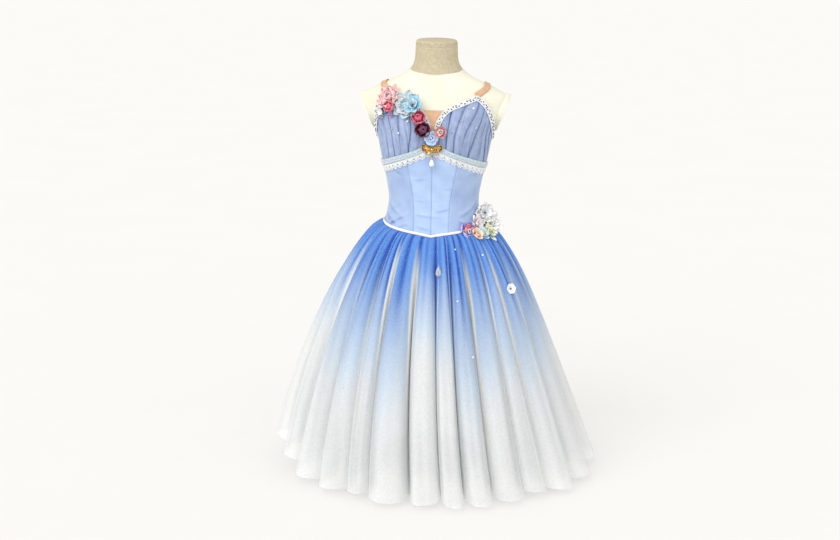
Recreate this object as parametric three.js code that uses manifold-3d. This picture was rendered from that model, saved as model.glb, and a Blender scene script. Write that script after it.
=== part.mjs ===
// A ballet dress on a limbless dress form, at real size in millimetres.
// +Z is up, the front of the dress faces -Y, and the wearer's left is +X.
// The origin is the middle of the stand's underside, on the floor.
import * as THREE from "three";
import { mergeVertices } from "three/addons/utils/BufferGeometryUtils.js";
import Module from "manifold-3d";

const wasm = await Module();
wasm.setup();

// Driving sizes
const SEAM_GAP = 0.3;
const WALL = 1.8;
const BODICE_CLEARANCE = 2;
const WAIST_SIDE_Z = 633;
const WAIST_POINT_DROP = 19;
const BAND_APEX_Z = 846.5;
const BAND_SLOPE = 0.43;
const BACK_TOP_Z = 850;
const PRINCESS = { atWaist: 18.3, atBand: 28 };
const SIDE_ANGLE = 90;
const BACK_PRINCESS_ANGLE = 150;
const TULLE = 2;
const UNDER_TULLE = 1.6;
const SKIRT_START_DROP = 0.6;
const HEM_Z = 14;
const HEM_SIDE = 375;
const HEM_FRONT = 345;
const HEM_BACK = 352;
const OUTER_FLARE = 0.56;
const UNDER_FLARE = 0.75;
const FLUTE_DEPTH_AT_HEM = 40;
const GATHER_DEPTH_AT_WAIST = 1.4;
const FLUTE_WIDENING = 0.03;
const CREST_ROUNDNESS = 0.75;
const UNDER_HEM_Z = 40;

const degrees = THREE.MathUtils.degToRad;
const mix = THREE.MathUtils.lerp;

// Sections of the figure: half-width, depth in front of the axis and depth behind it
const FIGURE = [
  { z: 430, side: 150, front: 100, back: 106 },
  { z: 480, side: 161, front: 110, back: 116 },
  { z: 540, side: 156, front: 109, back: 112 },
  { z: 600, side: 134, front: 101, back: 99 },
  { z: 640, side: 119, front: 94, back: 88 },
  { z: 690, side: 110, front: 88, back: 80 },
  { z: 740, side: 116, front: 92, back: 84 },
  { z: 790, side: 127, front: 99, back: 91 },
  { z: 837, side: 136, front: 102, back: 96 },
  { z: 870, side: 144, front: 101, back: 97 },
  { z: 905, side: 162, front: 94, back: 92 },
  { z: 938, side: 178, front: 82, back: 84 },
  { z: 958, side: 177, front: 72, back: 76 },
  { z: 976, side: 148, front: 64, back: 70 },
  { z: 992, side: 112, front: 59, back: 67 },
  { z: 1008, side: 80, front: 56, back: 65 },
  { z: 1019, side: 66, front: 55, back: 64 },
];
const SECTION_SQUARENESS = 0.92;
const BUST = { x: 66, z: 866, spread: 46, height: 50, depth: 20 };

// The top edge of a cup, from the centre front over the strap point to the side seam
const CUP_EDGE = [
  { along: 0, angle: 1.6, z: 866 },
  { along: 0.12, angle: 3.2, z: 896 },
  { along: 0.25, angle: 9, z: 926 },
  { along: 0.38, angle: 20, z: 943 },
  { along: 0.5, angle: 33, z: 957 },
  { along: 0.54, angle: 36, z: 954 },
  { along: 0.64, angle: 44, z: 939 },
  { along: 0.75, angle: 54, z: 917 },
  { along: 0.88, angle: 68, z: 889 },
  { along: 1, angle: 89, z: 856 },
];

// The flutes of the skirt, from the wearer's right side round the front: width in degrees,
// how far the crest stands out, how far the valley before it goes in, and how much the hem is lifted
const FLUTES = [
  { width: 15, crest: 1.0, valley: 0.8, lift: 34 },
  { width: 14, crest: 1.05, valley: 0.9, lift: 10 },
  { width: 13, crest: 0.9, valley: 1.0, lift: 4 },
  { width: 11, crest: 0.75, valley: 0.9, lift: 8 },
  { width: 17.5, crest: 1.15, valley: 1.0, lift: 0 },
  { width: 11, crest: 0.9, valley: 1.1, lift: 3 },
  { width: 9.4, crest: 1.05, valley: 0.8, lift: 0 },
  { width: 11.6, crest: 1.0, valley: 1.0, lift: 2 },
  { width: 13.5, crest: 0.95, valley: 1.0, lift: 4 },
  { width: 10, crest: 0.8, valley: 0.8, lift: 8 },
  { width: 14, crest: 1.1, valley: 1.0, lift: 2 },
  { width: 18, crest: 1.05, valley: 0.9, lift: 4 },
  { width: 17, crest: 0.95, valley: 1.0, lift: 6 },
  { width: 16, crest: 1.05, valley: 0.9, lift: 4 },
  { width: 18, crest: 1.0, valley: 1.0, lift: 8 },
  { width: 15, crest: 0.85, valley: 0.9, lift: 4 },
  { width: 19, crest: 1.1, valley: 1.0, lift: 6 },
  { width: 17, crest: 0.95, valley: 1.0, lift: 2 },
  { width: 16, crest: 0.9, valley: 0.9, lift: 6 },
  { width: 19, crest: 1.1, valley: 1.0, lift: 8 },
  { width: 16, crest: 0.9, valley: 1.0, lift: 10 },
  { width: 18, crest: 1.05, valley: 0.9, lift: 16 },
  { width: 15.5, crest: 0.9, valley: 1.0, lift: 30 },
  { width: 15.5, crest: 1.0, valley: 0.8, lift: 46 },
];
const FLUTES_START = -76;
const POINTS_PER_FLUTE = 6;
const UNDER_POINTS_PER_FLUTE = 3;
const SKIRT_RINGS = [0, 0.04, 0.12, 0.22, 0.42, 0.7, 1];
const UNDER_RINGS = [0, 0.04, 0.2, 0.55, 1];

// Smooth interpolation between the rows of a table, column by column
function rowAt(table, key, value) {
  const last = table.length - 1;
  let k = 0;
  while (k < last - 1 && value > table[k + 1][key]) k += 1;
  const [from, to] = [table[k], table[k + 1]];
  const [before, after] = [table[Math.max(k - 1, 0)], table[Math.min(k + 2, last)]];
  const span = to[key] - from[key];
  const t = THREE.MathUtils.clamp((value - from[key]) / span, 0, 1);
  const row = {};
  for (const column of Object.keys(from)) {
    const startSlope = k === 0 ? (to[column] - from[column]) / span
      : (to[column] - before[column]) / (to[key] - before[key]);
    const endSlope = k === last - 1 ? (to[column] - from[column]) / span
      : (after[column] - from[column]) / (after[key] - from[key]);
    const [t2, t3] = [t * t, t * t * t];
    row[column] = (2 * t3 - 3 * t2 + 1) * from[column] + (t3 - 2 * t2 + t) * span * startSlope
      + (3 * t2 - 2 * t3) * to[column] + (t3 - t2) * span * endSlope;
  }
  return row;
}

// A point of the figure's surface: the angle is 0 at the centre front and grows towards the wearer's left
function skin(angle, z) {
  const section = rowAt(FIGURE, "z", z);
  const [across, ahead] = [Math.sin(degrees(angle)), Math.cos(degrees(angle))];
  const x = section.side * Math.sign(across) * Math.abs(across) ** SECTION_SQUARENESS;
  const depth = ahead > 0 ? section.front : section.back;
  const fullness = ahead > 0
    ? BUST.depth * ahead * (2 - ahead)
      * Math.exp(-(((Math.abs(x) - BUST.x) / BUST.spread) ** 2) - ((z - BUST.z) / BUST.height) ** 2)
    : 0;
  const y = -Math.sign(ahead) * depth * Math.abs(ahead) ** SECTION_SQUARENESS - fullness;
  return new THREE.Vector3(x, y, z);
}

function skinNormal(angle, z) {
  const around = skin(angle + 0.5, z).sub(skin(angle - 0.5, z));
  const up = skin(angle, z + 1).sub(skin(angle, z - 1));
  return around.cross(up).normalize();
}

// A point that lies a distance off the figure
function offSkin(angle, z, distance) {
  return skin(angle, z).addScaledVector(skinNormal(angle, z), distance);
}

// Lines of the cut
function waistZ(angle) {
  return WAIST_SIDE_Z - WAIST_POINT_DROP * Math.max(0, 1 - Math.abs(angle) / SIDE_ANGLE);
}
function bandZ(angle) {
  return BAND_APEX_Z - BAND_SLOPE * Math.abs(skin(angle, 815).x);
}
function backTopZ(angle) {
  return mix(CUP_EDGE.at(-1).z, BACK_TOP_Z, (Math.abs(angle) - SIDE_ANGLE) / (180 - SIDE_ANGLE));
}

// Turns faces, each a list of vertex numbers, into a geometry
function geometryOf(points, faces) {
  const triangles = faces.flatMap((f) => (f.length === 3 ? [f] : [[f[0], f[1], f[2]], [f[0], f[2], f[3]]]));
  const geometry = new THREE.BufferGeometry();
  const numbers = points.flatMap((p) => p.toArray());
  geometry.setAttribute("position", new THREE.Float32BufferAttribute(numbers, 3));
  geometry.setIndex(triangles.flat());
  return geometry;
}

// A wall of cloth between an outer and an inner grid of points, closed all round its edges
function wallOf(outer, inner) {
  const [rows, columns] = [outer.length, outer[0].length];
  const points = [...outer.flat(), ...inner.flat()];
  const out = (i, j) => j * columns + i;
  const into = (i, j) => rows * columns + out(i, j);
  const faces = [];
  const last = columns - 1;
  for (let i = 0; i < last; i += 1) {
    for (let j = 0; j < rows - 1; j += 1) {
      faces.push([out(i, j), out(i + 1, j), out(i + 1, j + 1), out(i, j + 1)]);
      faces.push([into(i, j + 1), into(i + 1, j + 1), into(i + 1, j), into(i, j)]);
    }
    faces.push([out(i + 1, 0), out(i, 0), into(i, 0), into(i + 1, 0)]);
    faces.push([out(i, rows - 1), out(i + 1, rows - 1), into(i + 1, rows - 1), into(i, rows - 1)]);
  }
  for (let j = 0; j < rows - 1; j += 1) {
    faces.push([out(0, j), out(0, j + 1), into(0, j + 1), into(0, j)]);
    faces.push([out(last, j + 1), out(last, j), into(last, j), into(last, j + 1)]);
  }
  return geometryOf(points, faces);
}

// A solid between rings of points, closed with a fan at each end
function loftOf(rings) {
  const count = rings[0].length;
  const middle = (ring) => ring.reduce((sum, p) => sum.add(p), new THREE.Vector3()).divideScalar(count);
  const points = [...rings.flat(), middle(rings[0]), middle(rings.at(-1))];
  const faces = [];
  const end = (rings.length - 1) * count;
  for (let i = 0; i < count; i += 1) {
    const next = (i + 1) % count;
    for (let j = 0; j < rings.length - 1; j += 1) {
      faces.push([j * count + i, j * count + next, (j + 1) * count + next, (j + 1) * count + i]);
    }
    faces.push([next, i, rings.length * count]);
    faces.push([end + i, end + next, rings.length * count + 1]);
  }
  return geometryOf(points, faces);
}

const steps = (count) => Array.from({ length: count + 1 }, (_, i) => i / count);
const turns = (count) => steps(count).slice(0, -1);

// A piece of cloth that lies on the figure: place(u, v) gives its angle, height and relief
function clothOnFigure(place, columns, rows, from, to) {
  const grid = (side) => rows.map((v) => columns.map((u) => {
    const { angle, z, relief = 0 } = place(u, v);
    return offSkin(angle, z, side + relief);
  }));
  return wallOf(grid(to), grid(from));
}

// A strip along a path of points on the figure, with its width across the path
function stripOnFigure(path, lowSide, highSide, from, to) {
  const frames = path.map((place, i) => {
    const [a, b] = [path[Math.max(i - 1, 0)], path[Math.min(i + 1, path.length - 1)]];
    const along = offSkin(b.angle, b.z, from).sub(offSkin(a.angle, a.z, from)).normalize();
    const normal = skinNormal(place.angle, place.z);
    const across = normal.clone().cross(along).normalize();
    return { normal, across, point: skin(place.angle, place.z) };
  });
  const edge = (shift, distance) => frames.map(({ normal, across, point }) => point.clone()
    .addScaledVector(across, shift)
    .addScaledVector(normal, distance));
  const grid = (distance) => [edge(lowSide, distance), edge(highSide, distance)];
  return wallOf(grid(to), grid(from));
}

const dress = new THREE.Group();
function add(name, geometry, color, roughness = 0.8, metalness = 0) {
  const mesh = new THREE.Mesh(geometry, new THREE.MeshStandardMaterial({ color, roughness, metalness }));
  mesh.name = name;
  dress.add(mesh);
  return mesh;
}

// Colours
const IVORY = "#efe9d2";
const NECK_LINEN = "#cdbf9c";
const ICE_BLUE = "#a9c3ec";
const CUP_BLUE = "#7f95c6";
const WHITE = "#f4f5f6";
const MINT = "#b9cfcf";
const NUDE = "#cf9a74";
const GOLD = "#b08a3e";

// Solids of manifold-3d, for the few pieces that are cut
function solidOf(geometry) {
  const plain = geometry.clone();
  plain.deleteAttribute("normal");
  plain.deleteAttribute("uv");
  const merged = mergeVertices(plain, 1e-4);
  return new wasm.Manifold(new wasm.Mesh({
    numProp: 3,
    vertProperties: merged.attributes.position.array,
    triVerts: new Uint32Array(merged.index.array),
  }));
}
function geometryFrom(solid) {
  const mesh = solid.getMesh();
  return new THREE.BufferGeometry()
    .setAttribute("position", new THREE.BufferAttribute(mesh.vertProperties, 3))
    .setIndex(new THREE.BufferAttribute(mesh.triVerts, 1));
}

// Dress form: a torso cut flat at the armholes, oval arm caps, a neck with its cap, and a stand
const NECK_TILT = 0.13;
const TORSO_HEIGHTS = [
  430, 540, 600, 640, 665, 690, 715, 745, 780, 815, 840, 862, 885, 910, 935, 952, 966, 984, 1002, 1019,
];
const TORSO_ROUND = 32;
const ARM_CUT = { x: 166, z: 916, lean: 21, height: 49, depth: 44, thick: 5 };

function torsoRing(z) {
  const isTop = z === TORSO_HEIGHTS.at(-1);
  return turns(TORSO_ROUND).map((turn) => {
    const point = skin(turn * 360 - 180, z);
    if (isTop) point.z += NECK_TILT * point.y;
    return point;
  });
}
function armFrame(side) {
  const place = new THREE.Object3D();
  place.position.set(side * ARM_CUT.x, 4, ARM_CUT.z);
  place.rotation.y = side * degrees(90 + ARM_CUT.lean);
  place.updateMatrix();
  return place.matrix;
}
let torso = solidOf(loftOf(TORSO_HEIGHTS.map(torsoRing)));
for (const side of [-1, 1]) {
  const cutter = new THREE.BoxGeometry(200, 300, 60).translate(0, 0, 30).applyMatrix4(armFrame(side));
  torso = torso.subtract(solidOf(cutter));
}
add("form_torso", geometryFrom(torso), IVORY, 0.75);

for (const side of [-1, 1]) {
  const cap = new THREE.CylinderGeometry(1, 1.06, ARM_CUT.thick, 24).rotateX(Math.PI / 2)
    .scale(ARM_CUT.height, ARM_CUT.depth, 1)
    .translate(0, 0, ARM_CUT.thick / 2 + SEAM_GAP)
    .applyMatrix4(armFrame(side));
  add(side < 0 ? "form_arm_cap_right" : "form_arm_cap_left", cap, "#e2dcc0", 0.7);
}

const NECK_SECTIONS = [
  { up: 0, radius: 64.5, back: 62, y: 4 },
  { up: 9, radius: 59, back: 57, y: 3 },
  { up: 22, radius: 54.5, back: 53, y: 1 },
  { up: 45, radius: 52.5, back: 52, y: -1 },
  { up: 64, radius: 52, back: 51.5, y: -2 },
];
const NECK_BASE_Z = 1019.4;
function neckRing({ up, radius, back, y }) {
  return turns(24).map((turn) => {
    const [sin, cos] = [Math.sin(turn * 2 * Math.PI), Math.cos(turn * 2 * Math.PI)];
    const point = new THREE.Vector3(radius * sin, y - back * cos, NECK_BASE_Z + up);
    point.z += NECK_TILT * point.y * (1 - up / 90);
    return point;
  });
}
const neckRings = NECK_SECTIONS.map(neckRing);
add("form_neck", loftOf(neckRings), NECK_LINEN, 0.9);
const capRing = (shrink, rise) => neckRings.at(-1).map((p) => new THREE.Vector3(
  p.x * shrink, (p.y + 2) * shrink - 2, p.z + rise));
const neckCap = loftOf([capRing(0.985, SEAM_GAP), capRing(0.95, 6.5), capRing(0.93, 8)]);
add("form_neck_cap", neckCap, NECK_LINEN, 0.8);

const STAND = { radius: 150, thick: 12, post: 16, collar: 30 };
const profileOf = (rows) => rows.map(([radius, height]) => new THREE.Vector2(radius, height));
const onEnd = (geometry) => geometry.rotateX(Math.PI / 2);
add("stand_base", onEnd(new THREE.LatheGeometry(profileOf([
  [0, 0], [STAND.radius, 0], [STAND.radius, STAND.thick - 4], [STAND.radius - 6, STAND.thick],
  [STAND.collar, STAND.thick], [STAND.collar - 6, STAND.thick + 22], [0, STAND.thick + 22],
]), 32)), WHITE, 0.5);
add("stand_post", onEnd(new THREE.LatheGeometry(profileOf([
  [0, STAND.thick + 22 + SEAM_GAP], [STAND.post, STAND.thick + 22 + SEAM_GAP],
  [STAND.post, FIGURE[0].z - 24], [STAND.collar, FIGURE[0].z - 20], [STAND.collar, FIGURE[0].z - SEAM_GAP],
  [0, FIGURE[0].z - SEAM_GAP],
]), 16)), WHITE, 0.5);

// Bodice: eight panels from the centre front to the centre back, each with half a seam's gap at its sides
const PANEL_ROWS = steps(7);
const PANEL_COLUMN_TURN = 10;
const BODICE_FROM = BODICE_CLEARANCE;
const BODICE_TO = BODICE_CLEARANCE + WALL;
const HALF_GAP = 0.09;
function panel(name, fromAngle, toAngle, topOf) {
  for (const side of [-1, 1]) {
    const place = (u, v) => {
      const share = side > 0 ? u : 1 - u;
      const angle = side * mix(fromAngle(v) + HALF_GAP, toAngle(v) - HALF_GAP, share);
      return { angle, z: mix(waistZ(angle), topOf(angle), v) };
    };
    const columns = steps(Math.ceil((toAngle(1) - fromAngle(1)) / PANEL_COLUMN_TURN));
    const geometry = clothOnFigure(place, columns, PANEL_ROWS, BODICE_FROM, BODICE_TO);
    add(`${name}_${side < 0 ? "right" : "left"}`, geometry, ICE_BLUE, 0.45);
  }
}
const frontTop = (angle) => bandZ(angle) - SEAM_GAP;
const princessLine = (v) => mix(PRINCESS.atWaist, PRINCESS.atBand, v);
const lineAt = (angle) => () => angle;
panel("bodice_front_centre", lineAt(0), princessLine, frontTop);
panel("bodice_front_side", princessLine, lineAt(SIDE_ANGLE), frontTop);
panel("bodice_back_side", lineAt(SIDE_ANGLE), lineAt(BACK_PRINCESS_ANGLE), backTopZ);
panel("bodice_back_centre", lineAt(BACK_PRINCESS_ANGLE), lineAt(180), backTopZ);

// Cups: gathered cloth whose pleats fan up from the band to the strap point
const CUP_PLEATS = 8;
const PLEAT_HEIGHT = 1.5;
const CUP_LEAN = 2;
function cupPlace(u, v) {
  const bottomAngle = mix(CUP_EDGE[0].angle, CUP_EDGE.at(-1).angle, u ** CUP_LEAN);
  const top = rowAt(CUP_EDGE, "along", u);
  const angle = mix(bottomAngle, top.angle, v);
  const z = mix(bandZ(bottomAngle) + SEAM_GAP, top.z, v);
  const inside = Math.sin(Math.PI * u) ** 0.3;
  return { angle, z, relief: PLEAT_HEIGHT * inside * (1 - Math.cos(2 * Math.PI * CUP_PLEATS * u)) / 2 };
}
const CUP_COLUMNS = steps(CUP_PLEATS * 4);
const CUP_ROWS = steps(5);
for (const side of [-1, 1]) {
  const place = (u, v) => {
    const spot = cupPlace(side > 0 ? u : 1 - u, v);
    return { ...spot, angle: side * spot.angle };
  };
  add(side < 0 ? "cup_right" : "cup_left",
    clothOnFigure(place, CUP_COLUMNS, CUP_ROWS, BODICE_FROM, BODICE_TO), CUP_BLUE, 0.7);
}

// The nude insert that closes the neckline between the cups
const INSERT_TOP_Z = 925;
add("neckline_insert", clothOnFigure((u, v) => {
  const z = mix(CUP_EDGE[0].z + 4, INSERT_TOP_Z, v);
  const edge = rowAt(CUP_EDGE.slice(0, 4).map(({ angle, z: height }) => ({ angle, height })), "height", z);
  return { angle: mix(-1, 1, u) * (edge.angle - 0.35), z };
}, steps(4), steps(4), BODICE_FROM, BODICE_TO - 0.4), NUDE, 0.6);

// Trims that lie on the panels: braid round each cup, the band under the bust and its lace
const TRIM_FROM = BODICE_TO + PLEAT_HEIGHT + SEAM_GAP * 2;
const LACE_FROM = BODICE_TO + SEAM_GAP * 3.5;
const BRAID = { low: -10.5, high: 2, thick: 1.6 };
const BAND = { low: -10.5, high: 4, thick: 1.4 };
const LACE = { low: -25.5, high: -11, thick: 1.2, scallops: 12, scallop: 3 };
for (const side of [-1, 1]) {
  const name = side < 0 ? "right" : "left";
  const alongSide = (u) => (side > 0 ? u : 1 - u);
  const edgePath = steps(20).map((u) => {
    const row = rowAt(CUP_EDGE, "along", mix(0.06, 1, alongSide(u)));
    return { angle: side * row.angle, z: row.z };
  });
  add(`cup_braid_${name}`,
    stripOnFigure(edgePath, BRAID.low, BRAID.high, TRIM_FROM, TRIM_FROM + BRAID.thick), WHITE, 0.4);

  // A strip along the band's line, from just off the centre front to the side seam
  const bandStrip = (low, high) => (u, v) => {
    const share = alongSide(u);
    const angle = mix(HALF_GAP, SIDE_ANGLE - HALF_GAP, share);
    return { angle: side * angle, z: bandZ(angle) + mix(low(share), high, v) };
  };
  add(`underbust_band_${name}`, clothOnFigure(bandStrip(() => BAND.low, BAND.high), steps(20), [0, 1],
    TRIM_FROM, TRIM_FROM + BAND.thick), MINT, 0.5);
  const scalloped = (share) => LACE.low
    - LACE.scallop * Math.abs(Math.sin(Math.PI * LACE.scallops * share));
  const lace = clothOnFigure(bandStrip(scalloped, LACE.high), steps(LACE.scallops * 3), [0, 1],
    LACE_FROM, LACE_FROM + LACE.thick);
  add(`lace_edging_${name}`, lace, WHITE, 0.8);
}

// Straps from the cups' strap points over the shoulders to the back panels
const STRAP_PATH = [
  { step: 0, angle: 34, z: 961 },
  { step: 1, angle: 43, z: 968.5 },
  { step: 2, angle: 58, z: 977 },
  { step: 3, angle: 76, z: 983.5 },
  { step: 4, angle: 94, z: 985.5 },
  { step: 5, angle: 112, z: 982 },
  { step: 6, angle: 128, z: 972 },
  { step: 7, angle: 139, z: 955 },
  { step: 8, angle: 146, z: 930 },
  { step: 9, angle: 151, z: 900 },
  { step: 10, angle: 151, z: 853.2 },
];
const STRAP_HALF_WIDTH = 7;
for (const side of [-1, 1]) {
  const points = steps(18).map((share) => rowAt(STRAP_PATH, "step", share * 10));
  const path = points.map(({ angle, z }) => ({ angle: side * angle, z }));
  const ordered = side > 0 ? path : path.reverse();
  add(side < 0 ? "strap_right" : "strap_left",
    stripOnFigure(ordered, -STRAP_HALF_WIDTH, STRAP_HALF_WIDTH, BODICE_FROM, BODICE_TO), NUDE, 0.6);
}

// A strip of hook tape that closes the centre back
const TAPE_HALF_WIDTH = 7;
const tapePath = steps(8).map((share) => ({ angle: 180, z: mix(waistZ(180) + 8, BACK_TOP_Z - 1, share) }));
add("back_hook_tape", stripOnFigure(tapePath, -TAPE_HALF_WIDTH, TAPE_HALF_WIDTH,
  BODICE_TO + SEAM_GAP * 2, BODICE_TO + SEAM_GAP * 2 + 1.4), ICE_BLUE, 0.5);

// The white piping round the bodice's lower edge
const PIPING_ROUND = 48;
const PIPING_FROM = BODICE_TO + SEAM_GAP * 2;
const PIPING_SECTION = [
  { rise: 0.2, off: 0 },
  { rise: 6.4, off: 0 },
  { rise: 6, off: 2.4 },
  { rise: 3, off: 3.4 },
  { rise: 0.2, off: 2.4 },
];
const pipingRings = turns(PIPING_ROUND).map((turn) => {
  const angle = turn * 360 - 180;
  return PIPING_SECTION.map(({ rise, off }) => offSkin(angle, waistZ(angle) + rise, PIPING_FROM + off));
});
function ringOf(sections) {
  const [count, sides] = [sections.length, sections[0].length];
  const faces = [];
  for (let i = 0; i < count; i += 1) {
    const [here, next] = [i * sides, ((i + 1) % count) * sides];
    for (let k = 0; k < sides; k += 1) {
      const after = (k + 1) % sides;
      faces.push([here + k, here + after, next + after, next + k]);
    }
  }
  return geometryOf(sections.flat(), faces);
}
add("waist_piping", ringOf(pipingRings), WHITE, 0.6);

// Skirt: where a column of cloth stands at a share of the way down
const FLUTE_STARTS = FLUTES.map((_, k) => FLUTES.slice(0, k)
  .reduce((angle, flute) => angle + flute.width, FLUTES_START));

function skirtPoint(flute, phase, down, sheet) {
  const [here, next] = [FLUTES[flute], FLUTES[(flute + 1) % FLUTES.length]];
  const angle = FLUTE_STARTS[flute]
    + here.width * (phase - FLUTE_WIDENING * down * Math.sin(2 * Math.PI * phase));
  const signed = THREE.MathUtils.euclideanModulo(angle + 180, 360) - 180;
  const crestShare = ((1 - Math.cos(2 * Math.PI * phase)) / 2) ** CREST_ROUNDNESS;
  const valley = phase < 0.5 ? here : next;
  const beside = phase < 0.5 ? FLUTES.at(flute - 1) : next;
  const wave = mix(-valley.valley, here.crest, crestShare);
  const lift = mix((here.lift + beside.lift) / 2, here.lift, crestShare);

  const gathers = 0.5 - 0.5 * Math.cos(4 * Math.PI * phase);
  const settled = Math.min(1, down / 0.1);
  const depth = mix(GATHER_DEPTH_AT_WAIST, sheet.depth * down ** 0.85, settled);
  const relief = depth * mix(gathers, wave, settled);

  const waist = offSkin(signed, waistZ(signed) - SKIRT_START_DROP, sheet.atWaist);
  const [across, ahead] = [Math.sin(degrees(signed)), Math.cos(degrees(signed))];
  const hemDepth = ahead > 0 ? sheet.front : sheet.back;
  const hemRadius = 1 / Math.hypot(across / sheet.side, ahead / hemDepth);
  const hem = new THREE.Vector3(hemRadius * across, -hemRadius * ahead, sheet.hemZ + lift);
  const flare = down ** sheet.flare;
  const sway = 20 * down ** 3 - 9 * Math.sin(Math.PI * down);
  return new THREE.Vector3(
    mix(waist.x, hem.x, flare) + relief * across + sway,
    mix(waist.y, hem.y, flare) - relief * ahead,
    mix(waist.z, hem.z, down),
  );
}

// Offsets a grid of points along its own normals; its top row moves level, away from the waist seam
function offsetGrid(grid, distance) {
  const columns = grid[0].length;
  const lastRow = grid.length - 1;
  return grid.map((row, j) => row.map((point, i) => {
    const around = row[(i + 1) % columns].clone().sub(row[(i + columns - 1) % columns]);
    const upward = grid[Math.min(j + 1, lastRow)][i].clone().sub(grid[Math.max(j - 1, 0)][i]);
    if (j === lastRow) upward.set(0, 0, 1);
    return point.clone().addScaledVector(around.cross(upward).normalize(), distance);
  }));
}

// The points of a gathered sheet of tulle, in rows from the hem up to the waist
function tulleGrid(sheet, pointsPerFlute, rings) {
  return [...rings].reverse().map((down) => FLUTES.flatMap((_, flute) => turns(pointsPerFlute)
    .map((phase) => skirtPoint(flute, phase, down, sheet))));
}

// Each skirt is sewn from four widths of cloth, joined in the valleys between two flutes
const WIDTHS = ["front_right", "front_left", "back_left", "back_right"];
function widthOf(grid, from, to) {
  const closer = (point, neighbour) => point.clone()
    .addScaledVector(neighbour.clone().sub(point).normalize(), SEAM_GAP / 2);
  return grid.map((row) => {
    const points = Array.from({ length: to - from + 1 }, (_, i) => row[(from + i) % row.length]);
    const [first, last] = [closer(points[0], points[1]), closer(points.at(-1), points.at(-2))];
    return [first, ...points.slice(1, -1), last];
  });
}
function addSkirt(name, outer, inner, pointsPerFlute, color) {
  const columns = pointsPerFlute * FLUTES.length / WIDTHS.length;
  WIDTHS.forEach((place, k) => {
    const [from, to] = [k * columns, (k + 1) * columns];
    add(`${name}_${place}`, wallOf(widthOf(outer, from, to), widthOf(inner, from, to)), color, 0.85);
  });
}

const OUTER_SHEET = {
  side: HEM_SIDE, front: HEM_FRONT, back: HEM_BACK, hemZ: HEM_Z, depth: FLUTE_DEPTH_AT_HEM,
  flare: OUTER_FLARE, atWaist: BODICE_FROM + TULLE + 1.2,
};
const UNDER_SHEET = {
  side: HEM_SIDE - 62, front: HEM_FRONT - 62, back: HEM_BACK - 62, hemZ: UNDER_HEM_Z, depth: 8,
  flare: UNDER_FLARE, atWaist: BODICE_FROM,
};
const outerTulle = tulleGrid(OUTER_SHEET, POINTS_PER_FLUTE, SKIRT_RINGS);
const outerFace = offsetGrid(outerTulle, TULLE);
addSkirt("skirt_tulle", outerFace, outerTulle, POINTS_PER_FLUTE, "#8fb0e2");
const underTulle = tulleGrid(UNDER_SHEET, UNDER_POINTS_PER_FLUTE, UNDER_RINGS);
addSkirt("skirt_net", offsetGrid(underTulle, UNDER_TULLE), underTulle, UNDER_POINTS_PER_FLUTE, WHITE);

// The frame of a trimming: its back lies a distance off the figure, along the way it faces
function frameOnFigure({ angle, z, off, yaw = 0, lean = 0 }) {
  const level = skinNormal(angle, z).applyAxisAngle(new THREE.Vector3(0, 0, 1), degrees(yaw));
  const right = new THREE.Vector3(0, 0, 1).cross(level).normalize();
  const facing = level.applyAxisAngle(right, -degrees(lean));
  return new THREE.Matrix4().makeBasis(right, facing.clone().cross(right), facing)
    .setPosition(skin(angle, z).addScaledVector(facing, off));
}

// A blossom: a lobed dome of petals on a flat back, with a raised heart
const POINTS_PER_PETAL = 3;
function blossom({ radius, height, petals, notch }) {
  const lobe = (turn) => 1 - notch * (1 + Math.cos(2 * Math.PI * petals * turn)) / 2;
  const ring = (share, up, lobed) => turns(petals * POINTS_PER_PETAL).map((turn) => {
    const reach = radius * share * mix(1, lobe(turn), lobed);
    const around = 2 * Math.PI * turn;
    return new THREE.Vector3(reach * Math.cos(around), reach * Math.sin(around), up);
  });
  return loftOf([
    ring(0.6, 0, 0.5),
    ring(1, height * 0.45, 1),
    ring(0.94, height * 0.65, 1),
    ring(0.4, height * 0.7, 0.4),
    ring(0.28, height, 0),
  ]);
}

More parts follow.
